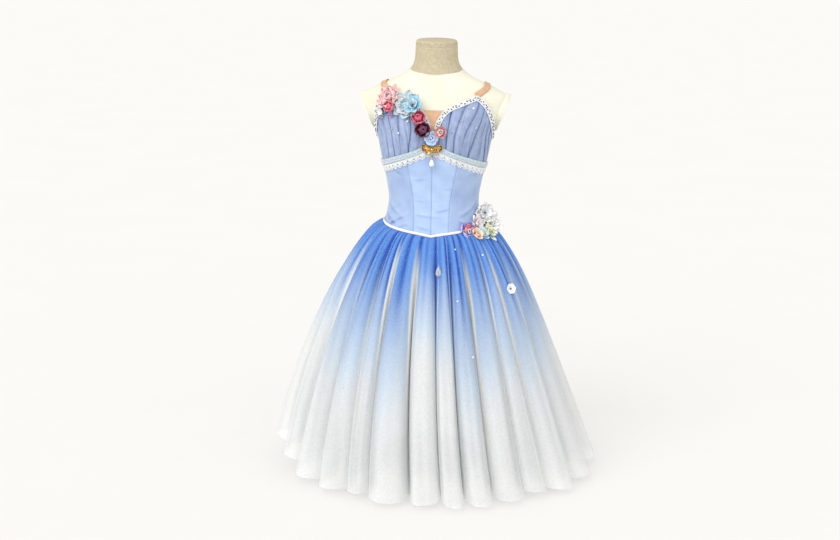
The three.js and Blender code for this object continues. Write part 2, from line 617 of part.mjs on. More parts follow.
// Blossoms of the bust spray and of the hip spray, from the ones sewn on first to the ones on top
const BLOSSOMS = [
  {
    name: "flower_pink_ruffle", color: "#eeb3b4", radius: 28, height: 8, petals: 9, notch: 0.16,
    angle: -36, z: 955, off: 7.8,
  },
  {
    name: "flower_pale_blue", color: "#cfe0ec", radius: 34, height: 8, petals: 6, notch: 0.24,
    angle: -20, z: 938, off: 11.0,
  },
  {
    name: "flower_rose_pink", color: "#c04a5c", radius: 13, height: 11, petals: 6, notch: 0.1,
    angle: -33.5, z: 932, off: 15.1,
  },
  {
    name: "flower_aqua", color: "#7cc3d9", radius: 20, height: 9, petals: 5, notch: 0.25,
    angle: -14.5, z: 936, off: 19.4,
  },
  {
    name: "flower_violet_organza", color: "#8a8bb0", radius: 14, height: 7, petals: 5, notch: 0.3,
    angle: -46.5, z: 920, off: 7.8,
  },
  {
    name: "flower_rose_red", color: "#b93350", radius: 17.5, height: 11, petals: 5, notch: 0.08,
    angle: -9.6, z: 907, off: 7.9,
  },
  {
    name: "flower_rose_plum", color: "#4d1338", radius: 18.5, height: 10, petals: 5, notch: 0.08,
    angle: -7.4, z: 880, off: 9.9,
  },
  {
    name: "flower_blue_centre", color: "#a6bfe6", radius: 16, height: 5, petals: 6, notch: 0.08,
    angle: 0.4, z: 861, off: 20.6,
  },
  {
    name: "flower_coral_bud", color: "#a85a5c", radius: 14, height: 6, petals: 5, notch: 0.25,
    angle: 8.3, z: 874, off: 20.0,
  },
  {
    name: "flower_violet_pink", color: "#9a94e0", radius: 21.5, height: 9, petals: 6, notch: 0.14,
    angle: 44, z: 627, off: 9.7, lean: 20,
  },
  {
    name: "flower_blush_star", color: "#e3d6dd", radius: 18, height: 7, petals: 5, notch: 0.35,
    angle: 58, z: 640, off: 13.4, lean: 10,
  },
  {
    name: "flower_green_white_fringe", color: "#dfe4da", radius: 25, height: 8, petals: 9, notch: 0.3,
    angle: 78, z: 638, off: 21.7, yaw: -20, lean: 15,
  },
  {
    name: "flower_white_tulle", color: "#eceef0", radius: 20, height: 8, petals: 8, notch: 0.25,
    angle: 80, z: 664, off: 24.2, yaw: -25, lean: 8,
  },
  {
    name: "flower_pale_aqua", color: "#bcdbe0", radius: 15, height: 8, petals: 4, notch: 0.2,
    angle: 55, z: 611, off: 23.8, lean: 20,
  },
  {
    name: "flower_orange_heart", color: "#f0dcc4", radius: 11, height: 8, petals: 5, notch: 0.2,
    angle: 46, z: 610, off: 26.7, lean: 20,
  },
  {
    name: "leaves_cream_green", color: "#dfe3bf", radius: 19, height: 6, petals: 3, notch: 0.45,
    angle: 66, z: 611, off: 31.5, yaw: -10, lean: 20,
  },
];
for (const { name, color, ...row } of BLOSSOMS) {
  add(name, blossom(row).applyMatrix4(frameOnFigure(row)), color, 0.8);
}

// A gold bow brooch at the top of the centre front, with a peg that a pearl drop hangs on
const BOW = { z: 833, y: -115.1, depth: 2, bevel: 0.8 };
const PEG = { drop: 16.5, radius: 1.2, from: 2, to: 5.4, headRadius: 2.3, head: 1 };
const RING = { inner: 1.6, outer: 3, from: 2.75, to: 5.05 };
const bowFrame = new THREE.Matrix4()
  .makeBasis(new THREE.Vector3(1, 0, 0), new THREE.Vector3(0, 0, 1), new THREE.Vector3(0, -1, 0))
  .setPosition(0, BOW.y, BOW.z);
const bowOutline = new THREE.Shape();
bowOutline.moveTo(0, 4.4);
bowOutline.bezierCurveTo(6, 6, 11, 12, 19, 11.6);
bowOutline.quadraticCurveTo(24.5, 8, 21.5, 1);
bowOutline.quadraticCurveTo(20, -3, 16.5, -4.5);
bowOutline.lineTo(18, -11);
bowOutline.lineTo(10, -11);
bowOutline.quadraticCurveTo(6, -5, 0, -4.6);
bowOutline.quadraticCurveTo(-6, -5, -10, -11);
bowOutline.lineTo(-18, -11);
bowOutline.lineTo(-16.5, -4.5);
bowOutline.quadraticCurveTo(-20, -3, -21.5, 1);
bowOutline.quadraticCurveTo(-24.5, 8, -19, 11.6);
bowOutline.bezierCurveTo(-11, 12, -6, 6, 0, 4.4);
const bowPlate = new THREE.ExtrudeGeometry(bowOutline, {
  depth: BOW.depth, bevelThickness: BOW.bevel, bevelSize: BOW.bevel, bevelSegments: 1, curveSegments: 4,
}).translate(0, 0, BOW.bevel);
const rod = (radius, from, to) => new THREE.CylinderGeometry(radius, radius, to - from, 12)
  .rotateX(Math.PI / 2).translate(0, -PEG.drop, (from + to) / 2);
const bow = [
  new THREE.SphereGeometry(1, 10, 6).scale(5, 5.6, 2.6).translate(0, 0, 2.8),
  new THREE.BoxGeometry(3, 15, 1.6).translate(0, -11.2, 1.6),
  rod(PEG.radius, PEG.from, PEG.to + 0.2),
  rod(PEG.headRadius, PEG.to, PEG.to + PEG.head),
].reduce((solid, piece) => solid.add(solidOf(piece)), solidOf(bowPlate));
add("bow_brooch", geometryFrom(bow).applyMatrix4(bowFrame), GOLD, 0.3, 1);

const ring = new THREE.LatheGeometry(profileOf([
  [RING.inner, RING.from], [RING.outer, RING.from], [RING.outer, RING.to], [RING.inner, RING.to],
  [RING.inner, RING.from],
]), 12).rotateX(Math.PI / 2).translate(0, -PEG.drop, 0);
const pearl = new THREE.LatheGeometry(profileOf([
  [0, -24.5], [3, -24], [5.2, -21.6], [6, -18.2], [5.4, -14.2],
  [3.6, -10], [2, -7.2], [1.1, -5], [1.1, -2.2], [0, -2.2],
]), 12).translate(0, -PEG.drop, (RING.from + RING.to) / 2);
add("pearl_drop", geometryFrom(solidOf(ring).add(solidOf(pearl))).applyMatrix4(bowFrame), "#f1efe8", 0.25);

// Trims sewn to the crests of the skirt's folds: a point of the outer face and the way it faces
function frameOnSkirt(flute, point, ringNumber, off) {
  const [row, column] = [SKIRT_RINGS.length - 1 - ringNumber, flute * POINTS_PER_FLUTE + point];
  const around = outerFace[row][column + 1].clone().sub(outerFace[row][column - 1]);
  const upward = outerFace[row + 1][column].clone().sub(outerFace[row - 1][column]);
  const facing = around.clone().cross(upward).normalize();
  const right = new THREE.Vector3(0, 0, 1).cross(facing).normalize();
  return new THREE.Matrix4().makeBasis(right, facing.clone().cross(right), facing)
    .setPosition(outerFace[row][column].clone().addScaledVector(facing, off));
}
const crystal = new THREE.LatheGeometry(profileOf([
  [0, -12.5], [4, -10], [5.5, -5], [3.6, 3], [1.4, 9], [0, 12.5],
]), 10);
add("skirt_crystal_drop", crystal.scale(1, 1, 0.5).translate(0, 0, 2.75)
  .applyMatrix4(frameOnSkirt(6, 2, 2, SEAM_GAP)), "#dcebf5", 0.1);
add("skirt_white_blossom", blossom({ radius: 12.5, height: 5, petals: 6, notch: 0.1 })
  .applyMatrix4(frameOnSkirt(10, 3, 3, SEAM_GAP)), WHITE, 0.4);

export default dress;
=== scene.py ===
# %% [markdown]
# A ballet dress on a dress form. The construction comes as a fixed frame of plain solids, one for
# each piece that a maker cuts and sews. This script dresses that frame: every piece of cloth, every
# petal and every bead is built here at its real size, in the frame's own axes, with +Z up and the
# front of the dress facing -Y.

# %% Load the frame
import math
import random

import bmesh
import bpy
from mathutils import Matrix, Quaternion, Vector, noise


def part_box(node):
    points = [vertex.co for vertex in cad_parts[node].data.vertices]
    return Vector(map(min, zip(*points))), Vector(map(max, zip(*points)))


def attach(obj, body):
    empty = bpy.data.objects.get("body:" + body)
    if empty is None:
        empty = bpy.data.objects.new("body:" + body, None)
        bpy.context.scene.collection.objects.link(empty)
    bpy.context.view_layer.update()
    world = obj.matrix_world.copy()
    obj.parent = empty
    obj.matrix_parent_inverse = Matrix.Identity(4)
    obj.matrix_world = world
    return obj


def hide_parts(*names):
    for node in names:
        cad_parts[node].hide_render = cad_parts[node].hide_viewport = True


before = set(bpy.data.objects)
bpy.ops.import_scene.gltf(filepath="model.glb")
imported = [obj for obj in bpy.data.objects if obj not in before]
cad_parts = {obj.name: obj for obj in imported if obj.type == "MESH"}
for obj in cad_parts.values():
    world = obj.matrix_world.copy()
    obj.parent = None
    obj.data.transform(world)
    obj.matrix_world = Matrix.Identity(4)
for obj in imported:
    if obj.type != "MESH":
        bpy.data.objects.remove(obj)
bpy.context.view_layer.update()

MM = 0.001
DRESS, PENDANT = "dress", "pendant"
# The wearer's right is at -X, on the left of the picture
SIDES = ((-1, "right"), (1, "left"))

# %% [markdown]
# Small arithmetic helpers come first. A sewing pattern is a table of a few measures, and the shape
# between two rows is a smooth curve, so one function reads any table at any height.


# %% Reading a table smoothly
def clamp(value, low=0.0, high=1.0):
    """The value, kept between low and high."""
    return max(low, min(high, value))


def mix(a, b, share):
    """a at share 0, b at share 1."""
    return a + (b - a) * share


def ease(low, high, value):
    """0 below low, 1 above high, and a soft step between them."""
    share = clamp((value - low) / (high - low))
    return share * share * (3 - 2 * share)


def row_at(table, value):
    """The columns of a table at a value of its first column, on a smooth curve."""
    last = len(table) - 1
    k = 0
    while k < last - 1 and value > table[k + 1][0]:
        k += 1
    start, end = table[k], table[k + 1]
    before, after = table[max(k - 1, 0)], table[min(k + 2, last)]
    span = end[0] - start[0]
    t = clamp((value - start[0]) / span)
    t2, t3 = t * t, t * t * t
    row = []
    for a, b, c, d in zip(before[1:], start[1:], end[1:], after[1:]):
        slope_in = (c - b) / span if k == 0 else (c - a) / (end[0] - before[0])
        slope_out = (c - b) / span if k == last - 1 else (d - b) / (after[0] - start[0])
        row.append((2 * t3 - 3 * t2 + 1) * b + (t3 - 2 * t2 + t) * span * slope_in
                   + (3 * t2 - 2 * t3) * c + (t3 - t2) * span * slope_out)
    return row


# %% [markdown]
# The dress form is a general figure: each row gives a height and how far the surface stands out at
# the side, the front and the back, in millimetres. All the cloth is laid on this same surface, a
# small distance off it, so that neighbouring pieces meet as they do in the frame.

# %% The figure
FIGURE = [
    # height, side, front, back
    (430, 150, 100, 106), (480, 161, 110, 116), (540, 156, 109, 112), (600, 134, 101, 99),
    (640, 119, 94, 88), (690, 110, 88, 80), (740, 116, 92, 84), (790, 127, 99, 91),
    (837, 136, 102, 96), (870, 144, 101, 97), (905, 162, 94, 92), (938, 178, 82, 84),
    (958, 177, 72, 76), (976, 148, 64, 70), (992, 112, 59, 67), (1008, 80, 56, 65),
    (1019, 66, 55, 64),
]
SECTION_SQUARENESS = 0.92
BUST_X, BUST_Z, BUST_SPREAD, BUST_HEIGHT, BUST_DEPTH = 66, 866, 46, 50, 20
ACROSS_STEP, UP_STEP = 0.5, 1.0


def skin(angle, z):
    """A point of the figure in millimetres. The angle is 0 at the centre front and grows to +X."""
    side, front, back = row_at(FIGURE, z)
    across, ahead = math.sin(math.radians(angle)), math.cos(math.radians(angle))
    x = side * math.copysign(abs(across) ** SECTION_SQUARENESS, across)
    depth, fullness = back, 0.0
    if ahead > 0:
        depth = front
        near = ((abs(x) - BUST_X) / BUST_SPREAD) ** 2 + ((z - BUST_Z) / BUST_HEIGHT) ** 2
        fullness = BUST_DEPTH * ahead * (2 - ahead) * math.exp(-near)
    y = -math.copysign(depth * abs(ahead) ** SECTION_SQUARENESS, ahead) - fullness
    return Vector((x, y, z))


def skin_normal(angle, z):
    """The direction that points straight out of the figure."""
    around = skin(angle + ACROSS_STEP, z) - skin(angle - ACROSS_STEP, z)
    up = skin(angle, z + UP_STEP) - skin(angle, z - UP_STEP)
    return around.cross(up).normalized()


def off_skin(angle, z, distance):
    """A point that lies a distance off the figure, in millimetres."""
    return skin(angle, z) + skin_normal(angle, z) * distance


print("width across the waist and the shoulders, in mm:",
      [round(2 * skin(90, height).x) for height in (690, 938)])


# %% Lines of the cut
WAIST_SIDE_Z, WAIST_POINT_DROP = 633, 19
POINT_TIP, POINT_TIP_ANGLE = 3.5, 9
BAND_APEX_Z, BAND_SLOPE, BAND_READ_Z = 846.5, 0.43, 815
CUP_EDGE = [
    # share along the edge, angle, height
    (0, 1.6, 866), (0.12, 3.2, 896), (0.25, 9, 926), (0.38, 20, 943), (0.5, 33, 957),
    (0.54, 36, 954), (0.64, 44, 939), (0.75, 54, 917), (0.88, 68, 889), (1, 89, 856),
]
BACK_TOP_Z = 850
SIDE_ANGLE, BACK_PRINCESS_ANGLE = 90, 150
PRINCESS_AT_WAIST, PRINCESS_AT_BAND = 18.3, 28
SEAM_GAP, HALF_GAP_ANGLE = 0.3, 0.09
BODICE_FROM, CLOTH = 2.0, 1.8
BODICE_TO = BODICE_FROM + CLOTH


def waist_z(angle):
    """The waist seam: lowest at the centre front, in a shallow V with a small sharp tip."""
    point = WAIST_POINT_DROP * max(0, 1 - abs(angle) / SIDE_ANGLE)
    return WAIST_SIDE_Z - point - POINT_TIP * math.exp(-abs(angle) / POINT_TIP_ANGLE)


def band_z(angle):
    """The line under the bust: highest at the centre front, and straight as seen from there."""
    return BAND_APEX_Z - BAND_SLOPE * abs(skin(angle, BAND_READ_Z).x)


def back_top_z(angle):
    """The upper edge of the back, from the end of the cup to the centre back."""
    return mix(CUP_EDGE[-1][2], BACK_TOP_Z, (abs(angle) - SIDE_ANGLE) / (180 - SIDE_ANGLE))


print("waist seam, in mm up: centre front", round(waist_z(0)), "side", round(waist_z(90)))


# %% [markdown]
# Cloth starts as a flat grid, as it comes off the roll. Each point of the grid is then moved to
# where the piece has it on the form: place(u, v) gives that point for a share across the piece and a
# share up it. The grid keeps its own UV map. A second optional function stores a number for every
# point, such as how much dye the cloth took there and how much painted shade it gets.


# %% Making objects and laying cloth
JOIN_DISTANCE = 1e-6


def finished(name, work, materials, smooth=True):
    """Turns a bmesh into an object at the origin, smooth shaded, with its materials."""
    mesh = bpy.data.meshes.new(name)
    work.to_mesh(mesh)
    work.free()
    made = bpy.data.objects.new(name, mesh)
    bpy.context.scene.collection.objects.link(made)
    for material in materials if isinstance(materials, (list, tuple)) else [materials]:
        mesh.materials.append(material)
    if smooth:
        mesh.shade_smooth()
    else:
        mesh.shade_flat()
    return made


def grid(work, columns, rows, place, marks=None, slot=0, join_sides=False):
    """Adds a grid of cloth to a bmesh and moves each point to place(u, v), in millimetres."""
    uv_layer = work.loops.layers.uv.verify()
    layers = {key: work.verts.layers.float.get(key) or work.verts.layers.float.new(key)
              for key in (marks or {})}
    made = bmesh.ops.create_grid(work, x_segments=columns, y_segments=rows, size=0.5)["verts"]
    faces = {face for vert in made for face in vert.link_faces}
    for face in faces:
        face.material_index = slot
        for loop in face.loops:
            loop[uv_layer].uv = (loop.vert.co.x + 0.5, loop.vert.co.y + 0.5)
    for vert in made:
        u, v = vert.co.x + 0.5, vert.co.y + 0.5
        for key, mark in (marks or {}).items():
            vert[layers[key]] = mark(u, v)
        vert.co = place(u, v) * MM
    if join_sides:
        bmesh.ops.remove_doubles(work, verts=made, dist=JOIN_DISTANCE)
    return [vert for vert in made if vert.is_valid]


# %% Thickness, length and the flat cut
def thicken(made, thickness, offset=-1.0):
    """Gives a sheet its thickness, in millimetres; offset -1 builds it inwards."""
    modifier = made.modifiers.new("Thickness", "SOLIDIFY")
    modifier.thickness = thickness * MM
    modifier.offset = offset
    modifier.use_rim = True
    return made


def cloth(name, columns, rows, place, material, thickness=None, marks=None, join_sides=False):
    """A piece of cloth as an object of its own, laid on the form."""
    work = bmesh.new()
    grid(work, columns, rows, place, marks, join_sides=join_sides)
    made = finished(name, work, material)
    return thicken(made, thickness) if thickness else made


def length_of(points):
    """The length of a line through points."""
    return sum((b - a).length for a, b in zip(points, points[1:]))


def cut_of(made, place, columns, rows=60):
    """Width, length and area of the flat cut, in metres, measured along the laid cloth."""
    across = [length_of([place(i / columns, v) for i in range(columns + 1)]) for v in (0, 0.5, 1)]
    up = [length_of([place(u, i / rows) for i in range(rows + 1)]) for u in (0.25, 0.5, 0.75)]
    width, height = max(across) * MM, max(up) * MM
    area = sum(face.area for face in made.data.polygons)
    return (width, height), min(area, width * height)


# %% Joining a piece to the frame
def dress_piece(made, slot_name, *nodes, body=DRESS):
    """Makes a piece ride on its body and hides the solids it stands for; its finish's name is not
    used.
    """
    print(f"{made.name}: {len(made.data.polygons)} faces, rides on {body}")
    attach(made, body)
    if nodes:
        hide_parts(*nodes)
    return made


def declare(made, place, columns, held, rests_on, **more):
    """Prints the flat size and area that a piece's pattern has."""
    flat, area = cut_of(made, place, columns)
    print(f"{made.name}: cut {flat[0] * 1000:.0f} x {flat[1] * 1000:.0f} mm, {area:.4f} m2")
    return made


# %% [markdown]
# Every colour is an sRGB hex value, as a colour picker gives it, and one function turns it into the
# linear light that the shaders work in. Patterns are sized from real measures: on Object
# coordinates, a Noise or Voronoi texture has spots about a metre apart at scale 1, so slubs 20 mm
# apart need a scale of 50. A Wave texture packs its bands closer, which WAVE_SCALE puts right.


# %% Colour and node helpers
def colour(hex_text):
    """An sRGB hex value as linear red, green, blue and a full alpha."""
    channels = [int(hex_text[i:i + 2], 16) / 255 for i in (1, 3, 5)]
    linear = [c / 12.92 if c <= 0.04045 else ((c + 0.055) / 1.055) ** 2.4 for c in channels]
    return (*linear, 1.0)


def add(tree, kind, values=None, links=None, stops=(), easing="EASE", **settings):
    """Adds a node with its settings, socket values and links. stops are a Color Ramp's colours."""
    made = tree.nodes.new(kind)
    for key, value in settings.items():
        setattr(made, key, value)
    for key, value in (values or {}).items():
        made.inputs[key].default_value = value
    for key, source in (links or {}).items():
        tree.links.new(source, made.inputs[key])
    if stops:
        made.color_ramp.interpolation = easing
        while len(made.color_ramp.elements) < len(stops):
            made.color_ramp.elements.new(0.5)
        for element, (share, hex_text) in zip(made.color_ramp.elements, stops):
            element.position = share
            element.color = colour(hex_text)
    return made


def new_material(name):
    """An empty material: its node tree and its Principled shader."""
    material = bpy.data.materials.new(name)
    material.use_nodes = True
    shader = material.node_tree.nodes["Principled BSDF"]
    return material, material.node_tree, shader


def set_values(shader, **values):
    """Sets constants on a Principled shader, under short names."""
    names = {"roughness": "Roughness", "metallic": "Metallic", "sheen": "Sheen Weight",
             "sheen_roughness": "Sheen Roughness", "coat": "Coat Weight",
             "coat_roughness": "Coat Roughness", "alpha": "Alpha", "ior": "IOR",
             "specular": "Specular IOR Level", "transmission": "Transmission Weight",
             "anisotropic": "Anisotropic"}
    for key, value in values.items():
        shader.inputs[names[key]].default_value = value


def per_metre(size_mm):
    """The scale of a texture whose features are this many millimetres apart."""
    return 1 / (size_mm * MM)


# %% [markdown]
# Woven cloth shows two things from a step away: a faint change of tone from thread to thread, and a
# grain that breaks up its shine. Both come from the same pair of waves here, one for the warp and
# one for the weft. Real threads are 0.1 to 0.3 mm apart, far below one pixel, so they are drawn
# about four times as coarse, with a slower Noise for the slubs that catch the light.


# %% Woven cloth
WAVE_SCALE = math.pi / 10
# Numbers kept on points: painted crease shade, dye with painted highlight, painted fold shade.
PAINTED_FOLD_SHADE, DYE_AND_EDGE_HIGHLIGHT, SKIRT_PAINTED_SHADE, COVER, ALONG = "fold", "dye", "deep", "cover", "along"


def woven(name, base, shade, thread_mm=0.9, slub_mm=22, bump_mm=0.08, fold_shade=None, **values):
    """A woven cloth: base and shade are its light and dark tones; a fold colour is painted shade."""
    material, tree, shader = new_material(name)
    set_values(shader, **values)
    where = add(tree, "ShaderNodeTexCoord").outputs["Object"]
    slub = add(tree, "ShaderNodeTexNoise", {"Scale": per_metre(slub_mm), "Detail": 5.0},
               {"Vector": where}).outputs["Fac"]
    waves = {"Scale": per_metre(thread_mm) * WAVE_SCALE, "Distortion": 1.5, "Detail": 1.0}
    warp = add(tree, "ShaderNodeTexWave", waves, {"Vector": where}, bands_direction="X")
    weft = add(tree, "ShaderNodeTexWave", waves, {"Vector": where}, bands_direction="Z")
    warp, weft = warp.outputs["Fac"], weft.outputs["Fac"]
    threads = add(tree, "ShaderNodeMath", links={0: warp, 1: weft}, operation="MULTIPLY").outputs[0]
    tone = add(tree, "ShaderNodeMath", {1: 0.3}, {0: threads, 2: slub},
               operation="MULTIPLY_ADD").outputs[0]
    look = add(tree, "ShaderNodeValToRGB", links={"Fac": tone},
               stops=[(0.3, shade), (0.85, base)]).outputs["Color"]
    # Painted shade: a stored number darkens the folds towards the fold colour.
    if fold_shade:
        deep = add(tree, "ShaderNodeAttribute", attribute_name=PAINTED_FOLD_SHADE).outputs["Fac"]
        dark = add(tree, "ShaderNodeValToRGB", links={"Fac": deep}, easing="LINEAR",
                   stops=[(0.0, "#ffffff"), (1.0, fold_shade)]).outputs["Color"]
        look = add(tree, "ShaderNodeMix", {"Factor": 1.0}, {6: look, 7: dark},
                   data_type="RGBA", blend_type="MULTIPLY").outputs[2]
    tree.links.new(look, shader.inputs["Base Color"])
    bump = add(tree, "ShaderNodeBump", {"Strength": 0.5, "Distance": bump_mm * MM},
               {"Height": threads})
    tree.links.new(bump.outputs["Normal"], shader.inputs["Normal"])
    return material


# %% Hard finishes
def plain(name, base, shade, spot_mm=6, **values):
    """A hard or moulded finish with a faint change of tone over spots of a given size."""
    material, tree, shader = new_material(name)
    set_values(shader, **values)
    where = add(tree, "ShaderNodeTexCoord").outputs["Object"]
    spots = add(tree, "ShaderNodeTexNoise", {"Scale": per_metre(spot_mm), "Detail": 3.0},
                {"Vector": where}).outputs["Fac"]
    look = add(tree, "ShaderNodeValToRGB", links={"Fac": spots},
               stops=[(0.35, shade), (0.65, base)]).outputs["Color"]
    tree.links.new(look, shader.inputs["Base Color"])
    bump = add(tree, "ShaderNodeBump", {"Strength": 0.15, "Distance": 0.1 * MM}, {"Height": spots})
    tree.links.new(bump.outputs["Normal"], shader.inputs["Normal"])
    return material


# %% [markdown]
# Each finish below starts from what the real one is. The comment over it says what it gives the eye,
# and the two colours are its light and its dark tone in an even light.

# %% The finishes
# Cotton jersey over a firm body: dull, warm, with a soft nap
IVORY_JERSEY = woven("ivory_cotton_jersey", "#f2f0df", "#e9e4cf", thread_mm=1.2, slub_mm=60,
                     roughness=0.85, sheen=0.1)
# Unbleached plain-weave linen: coarse threads with slubs
UNBLEACHED_LINEN = woven("unbleached_linen", "#cec3a8", "#bdb092", thread_mm=1.3, slub_mm=7,
                         bump_mm=0.25, roughness=0.9)
# Stove enamel on sheet steel: hard and half glossy
STOVE_ENAMEL = plain("white_stove_enamel", "#f3f3f1", "#ecebe8", roughness=0.3, coat=0.3)
# Duchess satin: long floats of yarn give a broad soft shine. The side panels are cut on the other
# grain, and their weaker forward sheen is painted in: a copy of the same cloth a tone darker.
# Satin's fold colour is the painted shade on the lower side of its creases.
SATIN_FINISH = dict(thread_mm=0.8, slub_mm=30, fold_shade="#7f9bd0", roughness=0.38,
                    sheen=0.15, sheen_roughness=0.4, anisotropic=0.4)
DUCHESS_SATIN = woven("ice_blue_duchess_satin", "#b9d0f1", "#a8c0e8", **SATIN_FINISH)
SATIN_PAINTED_DARKER = woven("ice_blue_duchess_satin_painted_darker", "#adc3e4", "#9db4da", **SATIN_FINISH)
# Crinkled chiffon over a lining: dull tops, and inky painted shade in its folds
DUSKY_CHIFFON = woven("dusky_blue_crinkle_chiffon", "#abbbdb", "#93a5cc", thread_mm=1.0, slub_mm=12,
                      bump_mm=0.1, fold_shade="#41548c", roughness=0.6, sheen=0.2)
# Power net: an elastic knit, skin toned, faintly shiny
POWER_NET = woven("nude_power_net", "#ddb692", "#d0a37d", thread_mm=1.4, slub_mm=18, roughness=0.55,
                  sheen=0.1)
# Cotton guipure and braid: dull white with a soft halo of fibres
GUIPURE_COTTON = woven("white_guipure_cotton", "#ffffff", "#eef1f4", thread_mm=1.0, slub_mm=5,
                       bump_mm=0.2, roughness=0.8, sheen=0.2)
BRAID_COTTON = woven("white_braid_cotton", "#ffffff", "#e4e8ef", thread_mm=1.0, slub_mm=4,
                     bump_mm=0.2, roughness=0.6, sheen=0.2)
# Ribbon with a metal thread: cool mint, half shiny
LUREX_RIBBON = woven("mint_lurex_ribbon", "#dbe8ee", "#b0c7d3", thread_mm=1.0, slub_mm=4,
                     bump_mm=0.2, roughness=0.45)
# Bias-cut satin over a cord: a white line with a soft shine
SATIN_BINDING = woven("white_satin_binding", "#ffffff", "#eef1f8", thread_mm=0.9, slub_mm=12,
                      roughness=0.4, sheen=0.2)
# Cast brass, gilt and polished; its random pale and dark gold spots are painted highlights and shade
GILT_BRASS = plain("gilt_cast_brass", "#f3d595", "#94692c", spot_mm=2.5, metallic=1.0,
                   roughness=0.25)
# Glass pearls: a lacquer with a milky coat
PEARL_LACQUER = plain("lacquered_glass_pearl", "#fbfaf4", "#eee9ee", spot_mm=4, roughness=0.2,
                      coat=0.6, coat_roughness=0.05)
CHAMPAGNE_PEARL = plain("champagne_glass_pearl", "#e9cf9a", "#d2b377", spot_mm=4, roughness=0.2,
                        coat=0.6)
# Lead glass with ground faces: clear, with hard bright glints
CUT_CRYSTAL = plain("cut_lead_crystal", "#f4f9ff", "#d3e2f2", spot_mm=3, roughness=0.04,
                    transmission=0.6, ior=1.55)
# Pressed black glass: nearly black, with a small sharp glint
JET_BEAD = plain("jet_glass_bead", "#3a4257", "#191c26", spot_mm=2, roughness=0.15, coat=0.5)
# Bent wire with a bright nickel coat
STEEL_HOOK = plain("nickelled_steel_hook", "#c9ccd1", "#a9adb5", spot_mm=2, metallic=1.0,
                   roughness=0.3)
print("finishes so far:", len(bpy.data.materials))

# %% [markdown]
# Tulle is a net of fine hexagons. One ply lets most light through, and a dozen plies look solid, so
# its cover is an opacity that grows where the cloth is gathered. The skirt was dip-dyed: the dye is
# strong at the waist and runs out towards the hem, further down some folds than others. That amount,
# painted paler as a highlight where a fold turns over, is stored on every point of the cloth, and a
# colour ramp turns it into blue; a second number puts painted shade into the folds. Glitter is glued
# on in specks under 1 mm; they are drawn 1.3 mm wide so that they still show.

# %% Tulle
MESH_SPOT_MM, GLITTER_PITCH_MM, SPECK_SHARE = 4, 3.2, 0.2
# Colours of the painted shade in the skirt's folds, where undyed and where dyed.
UNDYED_PAINTED_SHADE, DYED_PAINTED_SHADE = "#d9dddd", "#6487c4"


def tulle(name, stops, glitter):
    """A ply of tulle: stops run from undyed to fully dyed, glitter is how bright its specks are."""
    material, tree, shader = new_material(name)
    set_values(shader, roughness=0.75, sheen=0.1, specular=0.15)
    dye = add(tree, "ShaderNodeAttribute", attribute_name=DYE_AND_EDGE_HIGHLIGHT).outputs["Fac"]
    look = add(tree, "ShaderNodeValToRGB", links={"Fac": dye}, easing="LINEAR",
               stops=stops).outputs["Color"]
    # Painted shade: deep in a fold, the colour is darkened towards a shadow colour that is grey where
    # undyed and blue where dyed.
    deep = add(tree, "ShaderNodeAttribute", attribute_name=SKIRT_PAINTED_SHADE).outputs["Fac"]
    shadow = add(tree, "ShaderNodeMix", {6: colour(UNDYED_PAINTED_SHADE), 7: colour(DYED_PAINTED_SHADE)},
                 {"Factor": dye}, data_type="RGBA").outputs[2]
    folds = add(tree, "ShaderNodeMix", {6: colour("#ffffff")}, {"Factor": deep, 7: shadow},
                data_type="RGBA").outputs[2]
    look = add(tree, "ShaderNodeMix", {"Factor": 1.0}, {6: look, 7: folds}, data_type="RGBA",
               blend_type="MULTIPLY").outputs[2]
    where = add(tree, "ShaderNodeTexCoord").outputs["Object"]
    mottle = add(tree, "ShaderNodeTexNoise", {"Scale": per_metre(MESH_SPOT_MM), "Detail": 3.0},
                 {"Vector": where}).outputs["Fac"]
    tone = add(tree, "ShaderNodeValToRGB", links={"Fac": mottle},
               stops=[(0.3, "#f3f4f6"), (0.7, "#ffffff")]).outputs["Color"]
    look = add(tree, "ShaderNodeMix", {"Factor": 1.0}, {6: look, 7: tone}, data_type="RGBA",
               blend_type="MULTIPLY").outputs[2]
    cells = add(tree, "ShaderNodeTexVoronoi", {"Scale": per_metre(GLITTER_PITCH_MM)},
                {"Vector": where})
    speck = add(tree, "ShaderNodeMath", {1: SPECK_SHARE}, {0: cells.outputs["Distance"]},
                operation="LESS_THAN").outputs[0]
    amount = add(tree, "ShaderNodeMath", {1: glitter}, {0: speck}, operation="MULTIPLY").outputs[0]
    look = add(tree, "ShaderNodeMix", {7: colour("#ffffff")}, {"Factor": amount, 6: look},
               data_type="RGBA").outputs[2]
    tree.links.new(look, shader.inputs["Base Color"])
    opacity = add(tree, "ShaderNodeAttribute", attribute_name=COVER).outputs["Fac"]
    tree.links.new(opacity, shader.inputs["Alpha"])
    return material


DYE_STOPS = [
    (0.0, "#f8f9f9"), (0.15, "#f0f5fa"), (0.35, "#dcebfa"), (0.6, "#c8dbf4"), (0.85, "#a6c3ee"),
    (1.0, "#6a9fe8"),
]
GLITTER_TULLE = tulle("dip_dyed_glitter_tulle", DYE_STOPS, glitter=0.3)
DYED_TULLE = tulle("dip_dyed_soft_tulle", DYE_STOPS, glitter=0.12)
# The net is white cotton; its darker, bluer tone towards the waist is painted shade under the dyed
# plies.
WHITE_NET = tulle("white_cotton_net", [(0.0, "#f6f6f4"), (1.0, "#dfe6f2")], glitter=0.15)

# %% [markdown]
# The skirt first, because it is most of the picture. Its rings are ellipses from the waist to the
# hem, and 24 flutes stand in and out of them. The table gives each flute's width in degrees, how far
# its crest stands out and the valley before it goes in, how high its hem is lifted, and how far down
# the dye runs on the crest and in the valley, as shares of the length.

